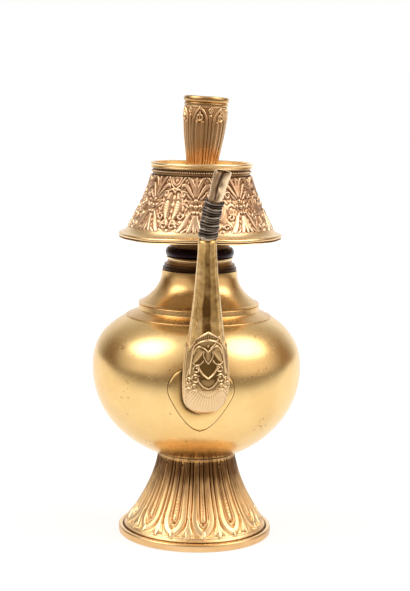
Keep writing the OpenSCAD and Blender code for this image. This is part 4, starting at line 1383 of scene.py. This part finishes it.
# Collar top rim
# The flat band and rolled edge at the collar's top, with a bright rubbed crest. It is coloured dark at its
# lowest edge as a painted shadow groove and lighter upwards, and its inner wall takes the bright crest colour
# as painted light.
top_brass = chased("top_brass", (0.05, 0.022, 0.01), (0.66, 0.40, 0.19), (0.98, 0.72, 0.38), (0.22, 0.4))
top_low, top_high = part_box("collar_top_rim")
top_low_z, top_high_z = top_low.z / mm, top_high.z / mm
band_r = 23.95
top_bore = 22.4
roll_r = top_high.x / mm
roll_core_r = 23.3
roll_half = 0.85
top_outline = eased(
    [
        (top_bore, top_low_z),
        (band_r - 0.9, top_low_z),
        (band_r - 0.9, top_low_z + 0.95),
        (band_r, top_low_z + 1.25),
        (band_r - 0.1, top_low_z + 2.1),
        (band_r - 0.4, top_low_z + 2.3),
    ],
    0.2,
)[1:]
roll_turns = rows(math.radians(-80), math.radians(88), 12)
top_outline += arc(roll_core_r, top_high_z - roll_half, roll_r - roll_core_r, roll_half, roll_turns)
top_outline.append((top_bore, top_high_z - 0.5))
collar_top_rim = turned("top_roll", top_outline, 320)
place, lean = points_of(collar_top_rim)
# Painted shadow at the lowest edge, lighter upwards, and painted light on the inner wall.
set_relief(collar_top_rim, (place[:, 2] - top_low_z - 0.6) / 1.3 + (reach_of(place) < roll_core_r - 0.3))
loose = portion(place[:, 2] - top_low_z - 1.8, 1.2)
knocked(collar_top_rim, loose, (0.12, 3, 0.4), (0.07, 7, 0.0))
install(collar_top_rim, "collar", "collar_top_rim", top_brass)


# Mouth tube
# The fluted tube that stands loose in the dish: six pointed petals with a ring at each tip,
# and small lozenges between. Its brown skin is hardly rubbed.
mouth_brass = chased("mouth_brass", (0.18, 0.078, 0.03), (0.84, 0.49, 0.23), (0.93, 0.66, 0.36), (0.28, 0.40))
tube_lean = math.radians(2.9)
tube_foot = Vector((0, 0, 176.634))
mouth_pose = Matrix.Translation(tube_foot * mm) @ Matrix.Rotation(tube_lean, 4, "Y")
tube_h = 29.4
tube_foot_r = 6.6
tube_top_r = 10.2
spigot_r = 5.8
bore_r = 4.4
bore_foot = 4
lip_bore = 8.9
arch_turn = 18
arch_pitch = 60
arch_half = 5.2
mouth_rows = rows(0, tube_h, 120)


def mouth_radius(s):
    """The mouth tube's radius at a height along it, in mm."""
    return between(tube_foot_r, tube_top_r, math.sin(math.pi / 2 * min(1, max(0, s / tube_h))))


mouth_outline = [(bore_r, -6.0), (spigot_r - 0.2, -6.0), (spigot_r, -5.8), (spigot_r, 0.0)]
mouth_outline += [(mouth_radius(s), s) for s in mouth_rows]
for s in (tube_h, 25, 20, 16, 12, 8, bore_foot):
    flare = math.sin(math.pi / 2 * (s - bore_foot) / (tube_h - bore_foot))
    mouth_outline.append((between(bore_r, lip_bore, flare), s))
mouth_tube = turned("fluted_mouth", mouth_outline, 432)
place, lean = points_of(mouth_tube)
fitted = np.array([mouth_radius(s) for s in place[:, 2]])
skin = (reach_of(place) > fitted - 0.4) & (place[:, 2] > 0.02)
aside = (bearing_of(place) + arch_turn + arch_pitch / 2) % arch_pitch - arch_pitch / 2
arch = sheet_of(np.abs(aside) / (arch_pitch / 2) * arch_half, place[:, 2])
ridge(arch, [(0, 28.4), (1.5, 26.9), (2.9, 24.4), (3.5, 21), (3.6, 10), (3.6, 0.2)], 0.62, 0.6, count=40)
ridge(arch, [(5.2, 24.6), (5.2, 18), (5.2, 10), (5.2, 0.2)], 0.75, 0.5, count=24)
ridge(arch, [(1.3, 21.6), (1.45, 18), (1.5, 10), (1.5, 0.2)], 0.85, 0.5, count=20)
ridge(arch, arc(0, 23.9, 1.25, 1.35, rows(math.pi / 2, -math.pi / 2, 8)), 0.5, 0.85)
boss(arch, 0, 23.9, 0.6, 0.7, 0.5)
ridge(arch, [(0.5, 25.0), (0, 26.4)], 0.42, 0.8)
ridge(arch, [(5.2, 28.5), (4.25, 27.3), (5.2, 26.0)], 0.34, 0.5)
boss(arch, 5.2, 27.3, 0.5, 0.5, 0.6)
arch.h = np.maximum(arch.h, 0.4 * dome(((arch.y - 29.1) / 0.25) ** 2))
emboss(mouth_tube, arch.h - 0.3, skin, 14, 0.42, 1.9, 0.3)
mouth_tube.data.transform(mouth_pose)
install(mouth_tube, "mouth", "mouth_tube", mouth_brass)


# Mouth lip
# The double lip of the mouth tube: a narrow band under a thicker rolled edge, worn smooth.
lip_brass = brass("lip_brass", (0.80, 0.52, 0.23), (0.48, 0.27, 0.11), (0.22, 0.36), 0.25)
lip_h = 4.4
lip_band_top = 31.16
lip_r = 10.7
lip_core_r = 9.85
lip_top = tube_h + lip_h
lip_half = (lip_top - lip_band_top) / 2
lip_outline = eased(
    [
        (lip_bore, tube_h),
        (tube_top_r, tube_h),
        (tube_top_r + 0.1, tube_h + 1.2),
        (tube_top_r - 0.35, lip_band_top - 0.3),
    ],
    0.3,
)[1:]
lip_outline += arc(lip_core_r, lip_top - lip_half, lip_r - lip_core_r, lip_half, roll_turns)
lip_outline.append((lip_bore, lip_top - 0.5))
mouth_lip = turned("double_lip", lip_outline, 224)
place, lean = points_of(mouth_lip)
loose = portion(place[:, 2] - lip_band_top, 1.0)
knocked(mouth_lip, loose, (0.12, 2, 0.8), (0.06, 5, 0.0))
mouth_lip.data.transform(mouth_pose)
install(mouth_lip, "mouth", "mouth_lip", lip_brass)
